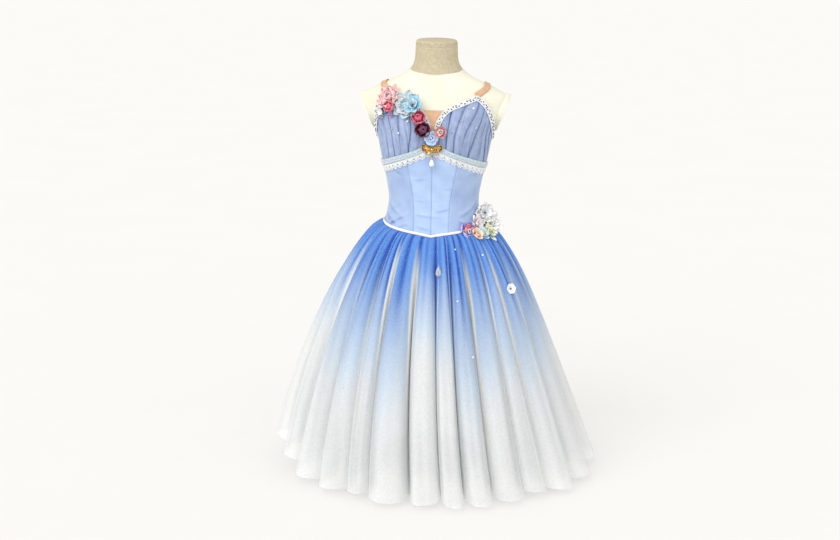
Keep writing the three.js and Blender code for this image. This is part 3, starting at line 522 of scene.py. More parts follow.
# %% The skirt's flutes
FLUTES = [
    # width, crest, valley, lift, dye on crest, dye in valley
    (15, 1.0, 0.8, 34, 0.36, 0.30),
    (14, 1.05, 0.9, 10, 0.50, 0.16),
    (13, 0.9, 1.0, 4, 0.56, 0.42),
    (9.5, 0.75, 0.9, 8, 0.50, 0.24),
    (16.5, 1.15, 1.0, 0, 0.60, 0.08),
    (13.5, 0.9, 1.3, 3, 0.34, 0.10),
    (9.4, 1.05, 0.8, 0, 0.40, 0.46),
    (11.6, 1.0, 1.0, 2, 0.58, 0.50),
    (13.5, 0.95, 1.0, 4, 0.52, 0.12),
    (10, 0.8, 0.8, 8, 0.50, 0.24),
    (14, 1.1, 1.0, 2, 0.54, 0.12),
    (18, 1.05, 0.9, 4, 0.50, 0.26),
    (17, 0.95, 1.0, 6, 0.44, 0.20),
    (16, 1.05, 0.9, 4, 0.50, 0.16),
    (18, 1.0, 1.0, 8, 0.56, 0.24),
    (15, 0.85, 0.9, 4, 0.46, 0.12),
    (19, 1.1, 1.0, 6, 0.58, 0.20),
    (17, 0.95, 1.0, 2, 0.50, 0.14),
    (16, 0.9, 0.9, 6, 0.44, 0.22),
    (19, 1.1, 1.0, 8, 0.58, 0.16),
    (16, 0.9, 1.0, 10, 0.50, 0.22),
    (18, 1.05, 0.9, 16, 0.54, 0.14),
    (15.5, 0.9, 1.0, 30, 0.46, 0.20),
    (15.5, 1.0, 0.8, 46, 0.40, 0.16),
]
WIDTH, CREST, VALLEY, LIFT, CREST_DYE, VALLEY_DYE = range(6)
FLUTES_START = -76
FLUTE_STARTS = [FLUTES_START + sum(f[WIDTH] for f in FLUTES[:k]) for k in range(len(FLUTES))]
HEM_Z, HEM_SIDE, HEM_FRONT, HEM_BACK = 14, 375, 345, 352
OUTER_FLARE, UNDER_FLARE = 0.56, 0.75
FLUTE_DEPTH = 40
CREST_ROUNDNESS, WAVE_ROUNDNESS = 0.75, 0.45
FLUTE_SKEW, HEM_SWAY = 0.5, 20
GATHER_DEPTH, GATHER_SWELL = 1.4, 5.0
SIDE_FLARE = 0.06
TURN_PHASE, TURN_WIDTH = 0.13, 0.035
TULLE_THICKNESS = 2.0
OUTER_WAIST = BODICE_FROM + TULLE_THICKNESS + 1.2
print(f"{len(FLUTES)} flutes over {sum(f[WIDTH] for f in FLUTES):.0f} degrees")


# %% Reading the flutes
def crest_share(phase, roundness=CREST_ROUNDNESS):
    """0 in a valley, 1 on the crest."""
    return ((1 - math.cos(2 * math.pi * phase)) / 2) ** roundness


def lift_at(flute, phase):
    """How high the hem is lifted at a place on a flute, shared with the flute beside it."""
    here, beside = FLUTES[flute], FLUTES[flute - 1 if phase < 0.5 else (flute + 1) % len(FLUTES)]
    return mix((here[LIFT] + beside[LIFT]) / 2, here[LIFT], crest_share(phase))


def flute_at(u):
    """The flute's number and the place on it, for a share of the way round."""
    place = (u % 1.0) * len(FLUTES)
    return int(place), place % 1.0


def gather_share(flute, phase):
    """1 on top of a gather and 0 in the fold between two."""
    wander = 0.3 * math.sin(flute * 2.3) * math.sin(2 * math.pi * phase)
    count = 2 + (flute * 5 % 3 == 0)
    return (0.5 - 0.5 * math.cos(2 * math.pi * (count * phase + wander))) ** 0.8


def gather_fade(down):
    """The gathers swell just below the seam and run out a hand's width further down."""
    return ease(0.0, 0.035, down) * (1 - ease(0.08, 0.5, down))


def turn_share(phase):
    """1 where the cloth turns over at the side of a flute, so that it is seen edge on."""
    return sum(math.exp(-((phase - at) / TURN_WIDTH) ** 2) for at in (TURN_PHASE, 1 - TURN_PHASE))


# %% [markdown]
# The shape of a ply is worked out point by point. The flare sets how a straight line from the waist
# to the hem bows out, and the relief is added square to it: the small gathers at the seam, the
# flutes that deepen towards the hem, and creases from a noise that is stretched down the cloth.


# %% A point of a ply
def skirt_point(u, down, ply):
    """A point of one ply of the skirt, in millimetres: u runs once round, down from waist to hem."""
    flute, phase = flute_at(u + ply["turn"] * down)
    here, after = FLUTES[flute], FLUTES[(flute + 1) % len(FLUTES)]
    skew = FLUTE_SKEW * math.sin(flute * 2.1 + ply["seed"])
    fold_back = ply["fold"] * ease(0.02, 0.5, down)
    shift = fold_back * (math.sin(2 * math.pi * phase + skew * crest_share(phase)))
    angle = FLUTE_STARTS[flute] + here[WIDTH] * (phase - shift)
    signed = (angle + 180) % 360 - 180
    valley = here[VALLEY] if phase < 0.5 else after[VALLEY]
    wave = mix(-valley, here[CREST], crest_share(phase, WAVE_ROUNDNESS))
    lift = lift_at(flute, phase)

    relief = GATHER_DEPTH * gather_share(flute, phase) * (1 - ease(0, 0.05, down))
    relief += GATHER_SWELL * (gather_share(flute, phase) - 0.6) * gather_fade(down)
    relief += ply["depth"] * down ** 0.85 * wave
    small = noise.noise(Vector((u * ply["creases"], down * 1.2, ply["seed"])))
    large = noise.noise(Vector((u * 40, down * 0.8, ply["seed"] + 20)))
    settled = ease(0.03, 0.3, down)
    sharp = 0.5 - abs(small)
    relief += settled * ply["crease_depth"] * (sharp * (1 - 0.6 * down) + 2 * large * down)

    waist = ply["waist_line"](signed)
    across, ahead = math.sin(math.radians(signed)), math.cos(math.radians(signed))
    front = ply["front"] if ahead > 0 else ply["back"]
    radius = 1 / math.hypot(across / ply["side"], ahead / front)
    hem_z = ply["hem"] + lift + ply["hem_wave"] * noise.noise(Vector((u * 30, 0, ply["seed"])))
    flare = down ** (ply["flare"] + SIDE_FLARE * across * across)
    sway = HEM_SWAY * down ** 3
    return Vector((
        mix(waist.x, radius * across, flare) + relief * across + sway,
        mix(waist.y, -radius * ahead, flare) - relief * ahead,
        mix(waist.z, hem_z, down),
    ))


def waist_line_at(distance):
    """The line where a ply is sewn to the bodice, read once for every degree."""
    points = [off_skin(a, waist_z(a) - 0.6, distance) for a in range(-180, 181)]

    def at(signed):
        k = min(int(signed + 180), 359)
        return points[k].lerp(points[k + 1], signed + 180 - k)
    return at


# %% Dye, its painted highlight, and painted shade
# How far the dye's end wanders, and how much paler a turned edge is painted, as a highlight.
DYE_WANDER, TURNED_EDGE_HIGHLIGHT = 0.12, 0.45
# Weights of the painted shade in the gathers, in the flutes' valleys and in random streaks.
GATHER_SHADE, VALLEY_SHADE, STRAND_SHADE = 0.9, 0.26, 0.25


def dye_and_edge_highlight_at(u, down, reach):
    """How much dye the cloth took, from 0 to 1; a fold's turned edge is painted paler, as a
    highlight.
    """
    flute, phase = flute_at(u)
    here, after = FLUTES[flute], FLUTES[(flute + 1) % len(FLUTES)]
    valley = here[VALLEY_DYE] if phase < 0.5 else after[VALLEY_DYE]
    end = mix(valley, here[CREST_DYE], ease(0.15, 0.6, crest_share(phase))) * reach
    end *= 1 + DYE_WANDER * noise.noise(Vector((u * 90, down * 2, 4.0)))
    strength = clamp(1 - ease(end * 0.1, end * 1.5, down))
    return strength * (1 - TURNED_EDGE_HIGHLIGHT * turn_share(phase) * ease(0.08, 0.3, down))


def painted_skirt_shade_at(u, down):
    """How much painted shade a point gets, from 0 to 1: deep in a fold, where the cloth shades
    itself.
    """
    flute, phase = flute_at(u)
    tight = 0.75 + 0.4 * math.sin(flute * 1.7 + 5 * phase)
    gathers = tight * (1 - gather_share(flute, phase)) ** 1.6 * (1 - ease(0.1, 0.45, down))
    valley = (1 - crest_share(phase)) ** 1.6 * ease(0.02, 0.14, down)
    valley *= 1 - 0.4 * ease(0.2, 0.8, down)
    strand = 0.5 + noise.noise(Vector((u * 130, down * 1.4, 8.0)))
    return clamp(GATHER_SHADE * gathers + VALLEY_SHADE * valley
                 + STRAND_SHADE * strand * (1 - ease(0.05, 0.6, down)))


# %% [markdown]
# One ply of tulle would look like a lampshade, so the skirt has several, as the real one has: a
# glittered ply outside, two soft dyed plies inside it, and the white net under them. Each is a
# single surface, because tulle is far thinner than a pixel. It is a little smaller and shorter than
# the one over it, and has creases of its own.

# %% The plies of the skirt
OUTER_SIDE = HEM_SIDE + TULLE_THICKNESS
PLIES = [
    dict(name="skirt_ply_glitter", inset=0, waist=OUTER_WAIST + TULLE_THICKNESS, hem=HEM_Z,
         depth=FLUTE_DEPTH, fold=0.13, turn=0.0, creases=150, crease_depth=4, seed=1.0, hem_wave=6,
         cover=(0.92, 0.56, 0.44), reach=1.0, flare=OUTER_FLARE, material=GLITTER_TULLE),
    dict(name="skirt_ply_dyed", inset=15, waist=OUTER_WAIST + 1.0, hem=HEM_Z + 12,
         depth=FLUTE_DEPTH * 0.95, fold=0.12, turn=0.018, creases=110, crease_depth=6, seed=5.0,
         hem_wave=9, cover=(0.92, 0.46, 0.30), reach=0.92, flare=OUTER_FLARE + 0.01,
         material=DYED_TULLE),
    dict(name="skirt_ply_inner", inset=31, waist=OUTER_WAIST, hem=HEM_Z + 22,
         depth=FLUTE_DEPTH * 0.85, fold=0.1, turn=-0.016, creases=80, crease_depth=7, seed=9.0,
         hem_wave=12, cover=(0.94, 0.42, 0.22), reach=0.8, flare=OUTER_FLARE + 0.025,
         material=DYED_TULLE),
]
PLY_COLUMNS, PLY_ROWS = 24 * 32, 64
HEM_ROWS_EASE = 1.25
THREAD_COVER, TURNED_COVER, MOST_COVER = 0.16, 0.45, 0.97


def make_ply(ply, nodes, slot_name):
    ply.update(side=OUTER_SIDE - ply["inset"], front=HEM_FRONT + TULLE_THICKNESS - ply["inset"],
               back=HEM_BACK + TULLE_THICKNESS - ply["inset"],
               waist_line=waist_line_at(ply["waist"]))
    upper, middle, lower = ply["cover"]

    def down_of(v):
        return (1 - v) ** HEM_ROWS_EASE

    def place(u, v):
        return skirt_point(u, down_of(v), ply)

    def cover(u, v):
        down = down_of(v)
        even = mix(mix(upper, middle, ease(0.05, 0.5, down)), lower, ease(0.45, 1, down))
        thread = THREAD_COVER * noise.noise(Vector((u * 170, down * 1.5, ply["seed"])))
        phase = flute_at(u + ply["turn"] * down)[1]
        turned = TURNED_COVER * turn_share(phase) * ease(0.1, 0.4, down)
        return clamp(even + turned + thread * ease(0.1, 0.5, down), 0, MOST_COVER)

    # Each point keeps its dye with a painted highlight, its painted shade and its opacity.
    marks = {
        DYE_AND_EDGE_HIGHLIGHT: lambda u, v: dye_and_edge_highlight_at(u + ply["turn"] * down_of(v), down_of(v), ply["reach"]),
        SKIRT_PAINTED_SHADE: lambda u, v: painted_skirt_shade_at(u + ply["turn"] * down_of(v), down_of(v)),
        COVER: cover,
    }
    made = cloth(ply["name"], PLY_COLUMNS, PLY_ROWS, place, ply["material"], marks=marks,
                 join_sides=True)
    dress_piece(made, slot_name, *nodes)
    return declare(made, place, PLY_COLUMNS, "gathered", ["waist_piping"])


QUARTERS = ("front_right", "front_left", "back_left", "back_right")
for index, ply in enumerate(PLIES):
    make_ply(ply, [f"skirt_tulle_{q}" for q in QUARTERS] if index == 0 else [], "ombre_tulle")

NET = dict(name="skirt_under_net", inset=62, waist=BODICE_FROM + 1.6, hem=40, depth=8, fold=0.0,
           turn=0.0, creases=60, crease_depth=6, seed=13.0, hem_wave=10, cover=(1.0, 0.75, 0.5),
           reach=0.3, flare=UNDER_FLARE, material=WHITE_NET)
make_ply(NET, [f"skirt_net_{q}" for q in QUARTERS], "white_net")

# %% [markdown]
# The dress form is a firm body under a stretched jersey cover, cut flat at the arms, where an oval
# plate closes it. Its surface is laid as one closed ring of cloth, and a plane cuts each arm off,
# from the armpit up. A short cone fills the shoulder out to the plate, and leaves a seam line where
# it leaves the form.

# %% The dress form's body
FORM_FOOT, FORM_TOP = 430, 1019
NECK_TILT, NECK_TILT_FROM = 0.13, 1002
ARM_X, ARM_Y, ARM_Z, ARM_LEAN = 166, 4, 916, 21
ARM_HALF_HEIGHT, ARM_HALF_DEPTH, ARM_THICK = 49, 44, 5
ARM_STUB, ARM_STUB_TAPER = 34, 0.86
ARM_CUT_FROM = 864
FORM_COLUMNS, FORM_ROWS, ROUND_SEGMENTS = 120, 110, 64
SHARP_ANGLE, PLATE_SHARP_ANGLE = math.radians(40), math.radians(50)


def arm_frame(side):
    """The frame of an arm plate, in metres: its Z axis points out of the armhole."""
    turn = Matrix.Rotation(side * math.radians(90 + ARM_LEAN), 4, "Y")
    return Matrix.Translation(Vector((side * ARM_X, ARM_Y, ARM_Z)) * MM) @ turn


def form_place(u, v):
    """A point of the form's cover; u runs once round it."""
    angle = u * 360 - 180
    z = mix(FORM_FOOT, FORM_TOP, v)
    point = skin(angle, z)
    point.z += NECK_TILT * point.y * ease(NECK_TILT_FROM, FORM_TOP, z)
    return point


def close_ends(work):
    """Closes the open ends of a ring of cloth."""
    bmesh.ops.holes_fill(work, edges=[e for e in work.edges if e.is_boundary], sides=0)
    bmesh.ops.recalc_face_normals(work, faces=work.faces)


work = bmesh.new()
grid(work, FORM_COLUMNS, FORM_ROWS, form_place, join_sides=True)
for arm_side in (-1, 1):
    plate = arm_frame(arm_side)
    outward = (plate.to_3x3() @ Vector((0, 0, 1))).normalized()
    upper = {vert for vert in work.verts if vert.co.z > ARM_CUT_FROM * MM}
    shoulder = [vert for vert in work.verts if vert in upper]
    shoulder += [edge for edge in work.edges if upper.issuperset(edge.verts)]
    shoulder += [face for face in work.faces if upper.issuperset(face.verts)]
    bmesh.ops.bisect_plane(work, geom=shoulder, plane_co=plate.translation, plane_no=outward,
                           clear_outer=True)
close_ends(work)
for arm_side in (-1, 1):
    stub = arm_frame(arm_side) @ Matrix.Translation((0, 0, -ARM_STUB * MM / 2)) @ \
        Matrix.Diagonal((ARM_HALF_HEIGHT * MM, ARM_HALF_DEPTH * MM, 1, 1))
    bmesh.ops.create_cone(work, cap_ends=True, segments=ROUND_SEGMENTS, radius1=ARM_STUB_TAPER,
                          radius2=1.0, depth=ARM_STUB * MM, matrix=stub)
form = finished("form_cover", work, IVORY_JERSEY)
form.data.set_sharp_from_angle(angle=SHARP_ANGLE)
dress_piece(form, "form_cover", "form_torso")

# %% Arm plates with a rolled rim
ARM_RIM = 2.2
for arm_side, word in SIDES:
    work = bmesh.new()
    made = bmesh.ops.create_circle(work, cap_ends=True, radius=1,
                                   segments=ROUND_SEGMENTS)["verts"]
    bmesh.ops.scale(work, verts=made, vec=(ARM_HALF_HEIGHT * MM, ARM_HALF_DEPTH * MM, 1))
    bmesh.ops.translate(work, verts=made, vec=(0, 0, SEAM_GAP * MM))
    raised = bmesh.ops.extrude_face_region(work, geom=work.faces[:])
    top = [item for item in raised["geom"] if isinstance(item, bmesh.types.BMVert)]
    bmesh.ops.translate(work, verts=top, vec=(0, 0, ARM_THICK * MM))
    rim = [edge for edge in work.edges if all(v in top for v in edge.verts)]
    bmesh.ops.bevel(work, geom=rim, offset=ARM_RIM * MM, segments=5, affect="EDGES", profile=0.5,
                    material=-1)
    bmesh.ops.transform(work, matrix=arm_frame(arm_side), verts=work.verts)
    bmesh.ops.recalc_face_normals(work, faces=work.faces)
    arm_plate = finished(f"form_arm_plate_{word}", work, IVORY_JERSEY)
    arm_plate.data.set_sharp_from_angle(angle=PLATE_SHARP_ANGLE)
    dress_piece(arm_plate, "arm_plate", f"form_arm_cap_{word}")

# %% The neck, its base seam and its cap
NECK = [
    # height over the base, radius, half depth, y
    (0, 64.5, 62, 4), (9, 59, 57, 3), (22, 54.5, 53, 1), (45, 52.5, 52, -1), (64, 52, 51.5, -2),
]
NECK_BASE_Z, NECK_TOP = 1019.4, 64
NECK_SEAM_UP, NECK_SEAM_DEPTH, NECK_SEAM_WIDTH = 58, 1.1, 1.1
NECK_ROWS, CAP_ROWS = 80, 12


def neck_place(u, v):
    """A point of the neck, with the groove of the seam under its cap."""
    up = v * NECK_TOP
    radius, half_depth, y = row_at(NECK, up)
    turn = 2 * math.pi * u
    groove = NECK_SEAM_DEPTH * math.exp(-((up - NECK_SEAM_UP) / NECK_SEAM_WIDTH) ** 2)
    radius, half_depth = radius - groove, half_depth - groove
    point = Vector((radius * math.sin(turn), y - half_depth * math.cos(turn), NECK_BASE_Z + up))
    point.z += NECK_TILT * point.y * (1 - up / 90)
    return point


CAP_PROFILE = [
    # share up the cap, share of the neck's width, rise
    (0.0, 0.985, 0.3), (0.55, 0.975, 4.6), (0.8, 0.95, 6.8), (1.0, 0.9, 8.0),
]


def cap_place(u, v):
    """A point of the cap, which closes in from the neck's rim."""
    shrink, rise = row_at(CAP_PROFILE, v)
    rim = neck_place(u - 0.5, 1.0)
    return Vector((rim.x * shrink, (rim.y + 2) * shrink - 2, rim.z + rise))


for name, rows, place, node_name in (
        ("form_neck_linen", NECK_ROWS, lambda u, v: neck_place(u - 0.5, v), "form_neck"),
        ("form_neck_cap_linen", CAP_ROWS, cap_place, "form_neck_cap")):
    work = bmesh.new()
    grid(work, ROUND_SEGMENTS, rows, place, join_sides=True)
    close_ends(work)
    made = finished(name, work, UNBLEACHED_LINEN)
    made.data.set_sharp_from_angle(angle=SHARP_ANGLE)
    dress_piece(made, "neck_linen", node_name)

# %% The stand keeps its solids
for node_name in ("stand_base", "stand_post"):
    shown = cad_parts[node_name]
    shown.data.materials.clear()
    shown.data.materials.append(STOVE_ENAMEL)
    print(node_name, "is enamelled")

# %% [markdown]
# The bodice is eight panels of satin, boned and pulled tight. What tells that it is cloth is small:
# each seam is a narrow groove where two edges turn in, and soft creases fan out from the waist where
# the cloth is strained. The creases are listed one by one, each as a line with a width and a height.

# %% Creases of the bodice
CREASES = [
    # angle and height of both ends, half-width, height
    (-80, 668, -44, 640, 5.0, 1.3), (-70, 690, -34, 655, 6.0, 0.8), (-60, 634, -34, 662, 4.0, 1.2),
    (-84, 790, -42, 772, 6.0, 0.8), (-72, 800, -38, 762, 4.0, -0.7), (-48, 625, -28, 643, 3.5, 0.9),
    (80, 662, 44, 636, 5.0, 1.2), (66, 690, 34, 662, 6.0, 0.7), (58, 634, 34, 652, 4.0, 1.0),
    (82, 786, 40, 770, 6.0, 0.8), (64, 796, 36, 776, 4.0, 0.7), (84, 700, 60, 676, 4.0, -0.6),
    (-18, 668, 6, 662, 3.0, 0.5), (-20, 704, -3, 701, 3.0, 0.4), (4, 676, 22, 684, 3.0, 0.5),
    (8, 738, 24, 734, 3.0, 0.3), (-22, 756, -6, 760, 3.0, 0.3), (-16, 640, 0, 630, 3.0, 0.5),
    (100, 668, 140, 640, 5.0, 1.1), (104, 700, 146, 676, 5.0, 0.7), (98, 640, 128, 656, 4.0, 0.9),
    (-100, 664, -140, 642, 5.0, 1.1), (-106, 706, -144, 672, 5.0, 0.8),
    (-98, 642, -130, 652, 4.0, 0.8), (152, 640, 170, 656, 4.0, 0.8),
    (-152, 644, -168, 660, 4.0, 0.7), (154, 700, 172, 694, 3.5, 0.5),
    (-156, 720, -172, 716, 3.5, 0.5), (112, 780, 144, 800, 5.0, 0.7),
    (-110, 782, -146, 796, 5.0, 0.7),
]
DEGREE_MM, CREASE_STRENGTH = 1.9, 2.6
CREASE_SHADE, SOFT_SHADE, SHADE_STEP = 0.24, 0.3, 3
print(len(CREASES), "creases")


def crease_relief(angle, z):
    """How far the creases raise the cloth at a point, in millimetres."""
    relief = 0.0
    for a0, z0, a1, z1, half_width, height in CREASES:
        along = Vector(((a1 - a0) * DEGREE_MM, z1 - z0))
        here = Vector(((angle - a0) * DEGREE_MM, z - z0))
        share = here.dot(along) / along.length_squared
        if -0.1 < share < 1.1:
            off_line = (here - along * share).length
            taper = math.sin(math.pi * clamp((share + 0.1) / 1.2)) ** 0.8
            relief += height * taper * math.exp(-(off_line / half_width) ** 2)
    return relief * CREASE_STRENGTH


def crease_painted_shade(angle, z):
    """Painted shade from 0 to 1: a crease's lower side, away from the light, and soft patches."""
    below = crease_relief(angle, z + SHADE_STEP) - crease_relief(angle, z - SHADE_STEP)
    soft = noise.noise(Vector((angle * 0.035, z * 0.012, 6.0)))
    return clamp(CREASE_SHADE * below + SOFT_SHADE * soft)


# %% The eight panels
EDGE_ROLL, EDGE_ROLL_WIDTH = 1.5, 1.5
PANEL_ROWS, PANEL_COLUMN_MM = 72, 2.4
CALM_EDGE_MM, PANEL_UNEVEN = 12, 0.25


def princess(v):
    """The angle of the front seam, which runs in towards the waist."""
    return mix(PRINCESS_AT_WAIST, PRINCESS_AT_BAND, v)


def front_top(angle):
    """The upper edge of the front panels."""
    return band_z(angle) - SEAM_GAP


PANELS = [
    # name, first angle, last angle, top line
    ("bodice_front_centre", lambda v: 0, princess, front_top),
    ("bodice_front_side", princess, lambda v: SIDE_ANGLE, front_top),
    ("bodice_back_side", lambda v: SIDE_ANGLE, lambda v: BACK_PRINCESS_ANGLE, back_top_z),
    ("bodice_back_centre", lambda v: BACK_PRINCESS_ANGLE, lambda v: 180, back_top_z),
]


def panel_place(first, last, top_line, side):
    """Where a panel's points lie, and how much painted shade a point of it gets."""
    def spot(u, v):
        share = (1 - math.cos(math.pi * u)) / 2
        share = share if side > 0 else 1 - share
        start, end = first(v) + HALF_GAP_ANGLE, last(v) - HALF_GAP_ANGLE
        angle = side * mix(start, end, share)
        return angle, mix(waist_z(angle), top_line(angle), v), share, end - start

    def shade(u, v):
        angle, z, _, _ = spot(u, v)
        return crease_painted_shade(angle, z)

    def place(u, v):
        angle, z, share, wide = spot(u, v)
        to_edge = min(share, 1 - share) * wide * DEGREE_MM
        relief = crease_relief(angle, z) * ease(0, CALM_EDGE_MM, to_edge)
        relief += PANEL_UNEVEN * noise.noise(Vector((angle * 0.05, z * 0.12, 3.0)))
        relief -= EDGE_ROLL * math.exp(-(to_edge / EDGE_ROLL_WIDTH) ** 2)
        return off_skin(angle, z, BODICE_TO + relief)
    return place, shade


for name, first, last, top_line in PANELS:
    for panel_side, word in SIDES:
        # The shade stored on the satin is painted shade under its creases.
        place, shade = panel_place(first, last, top_line, panel_side)
        columns = int((last(1) - first(1)) * DEGREE_MM / PANEL_COLUMN_MM)
        node_name = f"{name}_{word}"
        # The side panels take the copy of the satin painted a tone darker, as painted shade.
        satin = SATIN_PAINTED_DARKER if "side" in name else DUCHESS_SATIN
        panel = cloth(f"{node_name}_satin", columns, PANEL_ROWS, place, satin, CLOTH,
                      {PAINTED_FOLD_SHADE: shade})
        dress_piece(panel, "ice_blue_satin", node_name)
        declare(panel, place, columns, "stretched", ["form_cover"])

# %% [markdown]
# The cups are chiffon gathered over a lining. Each pleat starts at the band and leans out to the
# strap point. A real gather is rounder on top than in its fold, so the pleat's wave is raised to a
# power, and fine crinkles run along it. The painted shade of each fold is stored for the shader.

# %% The gathered cups
CUP_PLEATS, PLEAT_HEIGHT, CUP_LEAN = 10, 1.5, 1.6
PLEAT_LINE = 0.11
PLEAT_SWELL, PLEAT_SINK, CRINKLE = 1.9, 0.7, 0.9
CUP_COLUMNS, CUP_ROWS = 200, 40


def cup_spot(u, v):
    """Angle and height of a point of a cup; u runs from the centre to the side."""
    bottom_angle = mix(CUP_EDGE[0][1], CUP_EDGE[-1][1], u ** CUP_LEAN)
    top_angle, top_z = row_at(CUP_EDGE, u)
    angle = mix(bottom_angle, top_angle, v)
    z = mix(band_z(bottom_angle) + SEAM_GAP, top_z, v)
    return angle, z


def pleat_phase(u, v):
    """Where a point lies between one pleat's edge, 0, and the next one's, 1."""
    wander = 0.3 * math.sin(5.1 * u + 2.6 * v) + 0.14 * math.sin(13 * u + 4 * v)
    return (CUP_PLEATS * u + wander) % 1.0


def pleat(u, v):
    """The height of a laid pleat: it stands up at its edge and slopes down to the next."""
    phase = pleat_phase(u, v)
    return ease(0, 0.12, phase) * (1 - phase) ** 0.7


def pleat_painted_shade(u, v):
    """The painted shade of a pleat: an inky line under its edge, and a shade deepening to the next.
    """
    phase = pleat_phase(u, v)
    from_edge = min(phase, 1 - phase)
    line = math.exp(-(from_edge / PLEAT_LINE) ** 2) * (0.75 + 0.35 * math.sin(CUP_PLEATS * u * 2.4))
    streak = noise.noise(Vector((u * 75, v * 1.6, 2.0)))
    return clamp(0.6 * line + 0.25 * phase ** 1.5 + 0.35 * streak)


def cup_place(side):
    """Where the points of a cup lie: the pleats swell between the band and the upper edge."""
    def place(u, v):
        share = u if side > 0 else 1 - u
        angle, z = cup_spot(share, v)
        inside = math.sin(math.pi * clamp(share, 0.001, 0.999)) ** 0.3
        open_middle = math.sin(math.pi * v) ** 0.7
        relief = PLEAT_HEIGHT * inside * pleat(u, v)
        relief += open_middle * inside * (PLEAT_SWELL * pleat(u, v) - PLEAT_SINK)
        relief += CRINKLE * open_middle * noise.noise(Vector((u * 60, v * 2.0, side)))
        return off_skin(side * angle, z, BODICE_TO + relief)
    return place


for cup_side, word in SIDES:
    place = cup_place(cup_side)
    # The cup keeps the painted shade of its pleats on every point.
    cup = cloth(f"cup_{word}_chiffon", CUP_COLUMNS, CUP_ROWS, place, DUSKY_CHIFFON, CLOTH,
                {PAINTED_FOLD_SHADE: pleat_painted_shade})
    dress_piece(cup, "dusky_blue_chiffon", f"cup_{word}")
    declare(cup, place, CUP_COLUMNS, "gathered", ["form_cover"])

# %% [markdown]
# The insert between the cups and the straps are skin-toned power net, which is meant not to be seen
# from the stalls. The insert is drawn tight across the gap, so its creases run up and down.

# %% The nude insert
INSERT_TOP_Z, INSERT_COLUMNS, INSERT_ROWS = 925, 24, 28
INSERT_THICK, STRAP_THICK = 1.2, 1.4
INSERT_EDGE = [(z, angle) for _, angle, z in CUP_EDGE[:4]]


def insert_place(u, v):
    """A point of the insert, which fills the gap between the cups."""
    z = mix(CUP_EDGE[0][2] + 4, INSERT_TOP_Z, v)
    angle = mix(-1, 1, u) * (row_at(INSERT_EDGE, z)[0] - 0.35)
    pull = 0.35 * math.sin(z * 0.55 + 4 * u) * math.sin(math.pi * u) ** 0.5
    return off_skin(angle, z, BODICE_TO - 0.4 + pull)


insert = cloth("neckline_insert_net", INSERT_COLUMNS, INSERT_ROWS, insert_place, POWER_NET,
               INSERT_THICK)
dress_piece(insert, "nude_stretch_net", "neckline_insert")
declare(insert, insert_place, INSERT_COLUMNS, "stretched", ["form_cover"])


# %% A path along the figure
class Path:
    """A line on the figure that a trim is sewn along. at(share, across, off) is a point of it."""

    def __init__(self, spots, steps=160):
        self.frames = []
        places = [spots(i / steps) for i in range(steps + 1)]
        points = [skin(angle, z) for angle, z in places]
        self.length = length_of(points)
        for i, (angle, z) in enumerate(places):
            along = (points[min(i + 1, steps)] - points[max(i - 1, 0)]).normalized()
            normal = skin_normal(angle, z)
            across = normal.cross(along).normalized()
            self.frames.append((points[i], along, across, normal))

    def at(self, share, across, off):
        spot = clamp(share) * (len(self.frames) - 1)
        k = min(int(spot), len(self.frames) - 2)
        (p, _, a, n), (q, _, b, m) = self.frames[k], self.frames[k + 1]
        t = spot - k
        return p.lerp(q, t) + a.lerp(b, t) * across + n.lerp(m, t) * off

# %% The straps
STRAP_PATH = [
    # number of the point, angle, height
    (0, 34, 961), (1, 43, 968.5), (2, 58, 977), (3, 76, 983.5), (4, 94, 985.5), (5, 112, 982),
    (6, 128, 972), (7, 139, 955), (8, 146, 930), (9, 151, 900), (10, 151, 853.2),
]
STRAP_HALF_WIDTH, STRAP_COLUMNS, STRAP_ROWS = 7, 90, 10


def strap_spots(side):
    """The line of a strap, from the left end of its cloth to the right one."""
    def spots(share):
        share = share if side > 0 else 1 - share
        angle, z = row_at(STRAP_PATH, share * STRAP_PATH[-1][0])
        return side * angle, z
    return spots


for strap_side, word in SIDES:
    path = Path(strap_spots(strap_side))

    def strap_place(u, v, path=path):
        across = mix(-STRAP_HALF_WIDTH, STRAP_HALF_WIDTH, v)
        edge = 0.3 * math.exp(-((STRAP_HALF_WIDTH - abs(across)) / 1.2) ** 2)
        return path.at(u, across, BODICE_TO - 0.3 + edge)

    strap = cloth(f"strap_{word}_elastic", STRAP_COLUMNS, STRAP_ROWS, strap_place, POWER_NET,
                  STRAP_THICK)
    dress_piece(strap, "nude_stretch_net", f"strap_{word}")
    declare(strap, strap_place, STRAP_COLUMNS, "stretched", ["form_cover"])

# %% [markdown]
# Trims are made flat, as a maker would crochet or weave them, in millimetres along and across the
# strip, and then every point is carried onto the dress by the strip's own path. That way a lace
# motif is drawn once with a few circles and repeated by a loop.


# %% Flat motifs
def flat_ring(work, centre, outer, inner, segments=12, start=0.0, turn=2 * math.pi, height=0.0,
              slot=0):
    """A flat ring, or part of one, drawn by spinning a short edge round its centre."""
    middle = Vector((centre[0], centre[1], height))
    ray = Vector((math.cos(start), math.sin(start), 0))
    first = work.verts.new(middle + ray * inner)
    second = work.verts.new(middle + ray * outer)
    edge = work.edges.new((first, second))
    known = set(work.faces)
    bmesh.ops.spin(work, geom=[first, second, edge], cent=middle,
                   axis=(0, 0, 1), angle=turn, steps=segments,
                   use_merge=abs(turn - 2 * math.pi) < 1e-6)
    for face in set(work.faces) - known:
        face.material_index = slot


def flat_dot(work, centre, radius, segments=8, height=0.0, slot=0, squash=1.0, angle=0.0):
    """A flat disc, or an oval one."""
    matrix = (Matrix.Translation((centre[0], centre[1], height)) @ Matrix.Rotation(angle, 4, "Z")
              @ Matrix.Diagonal((1, squash, 1, 1)))
    known = set(work.faces)
    bmesh.ops.create_circle(work, cap_ends=True, radius=radius, segments=segments, matrix=matrix)
    for face in set(work.faces) - known:
        face.material_index = slot


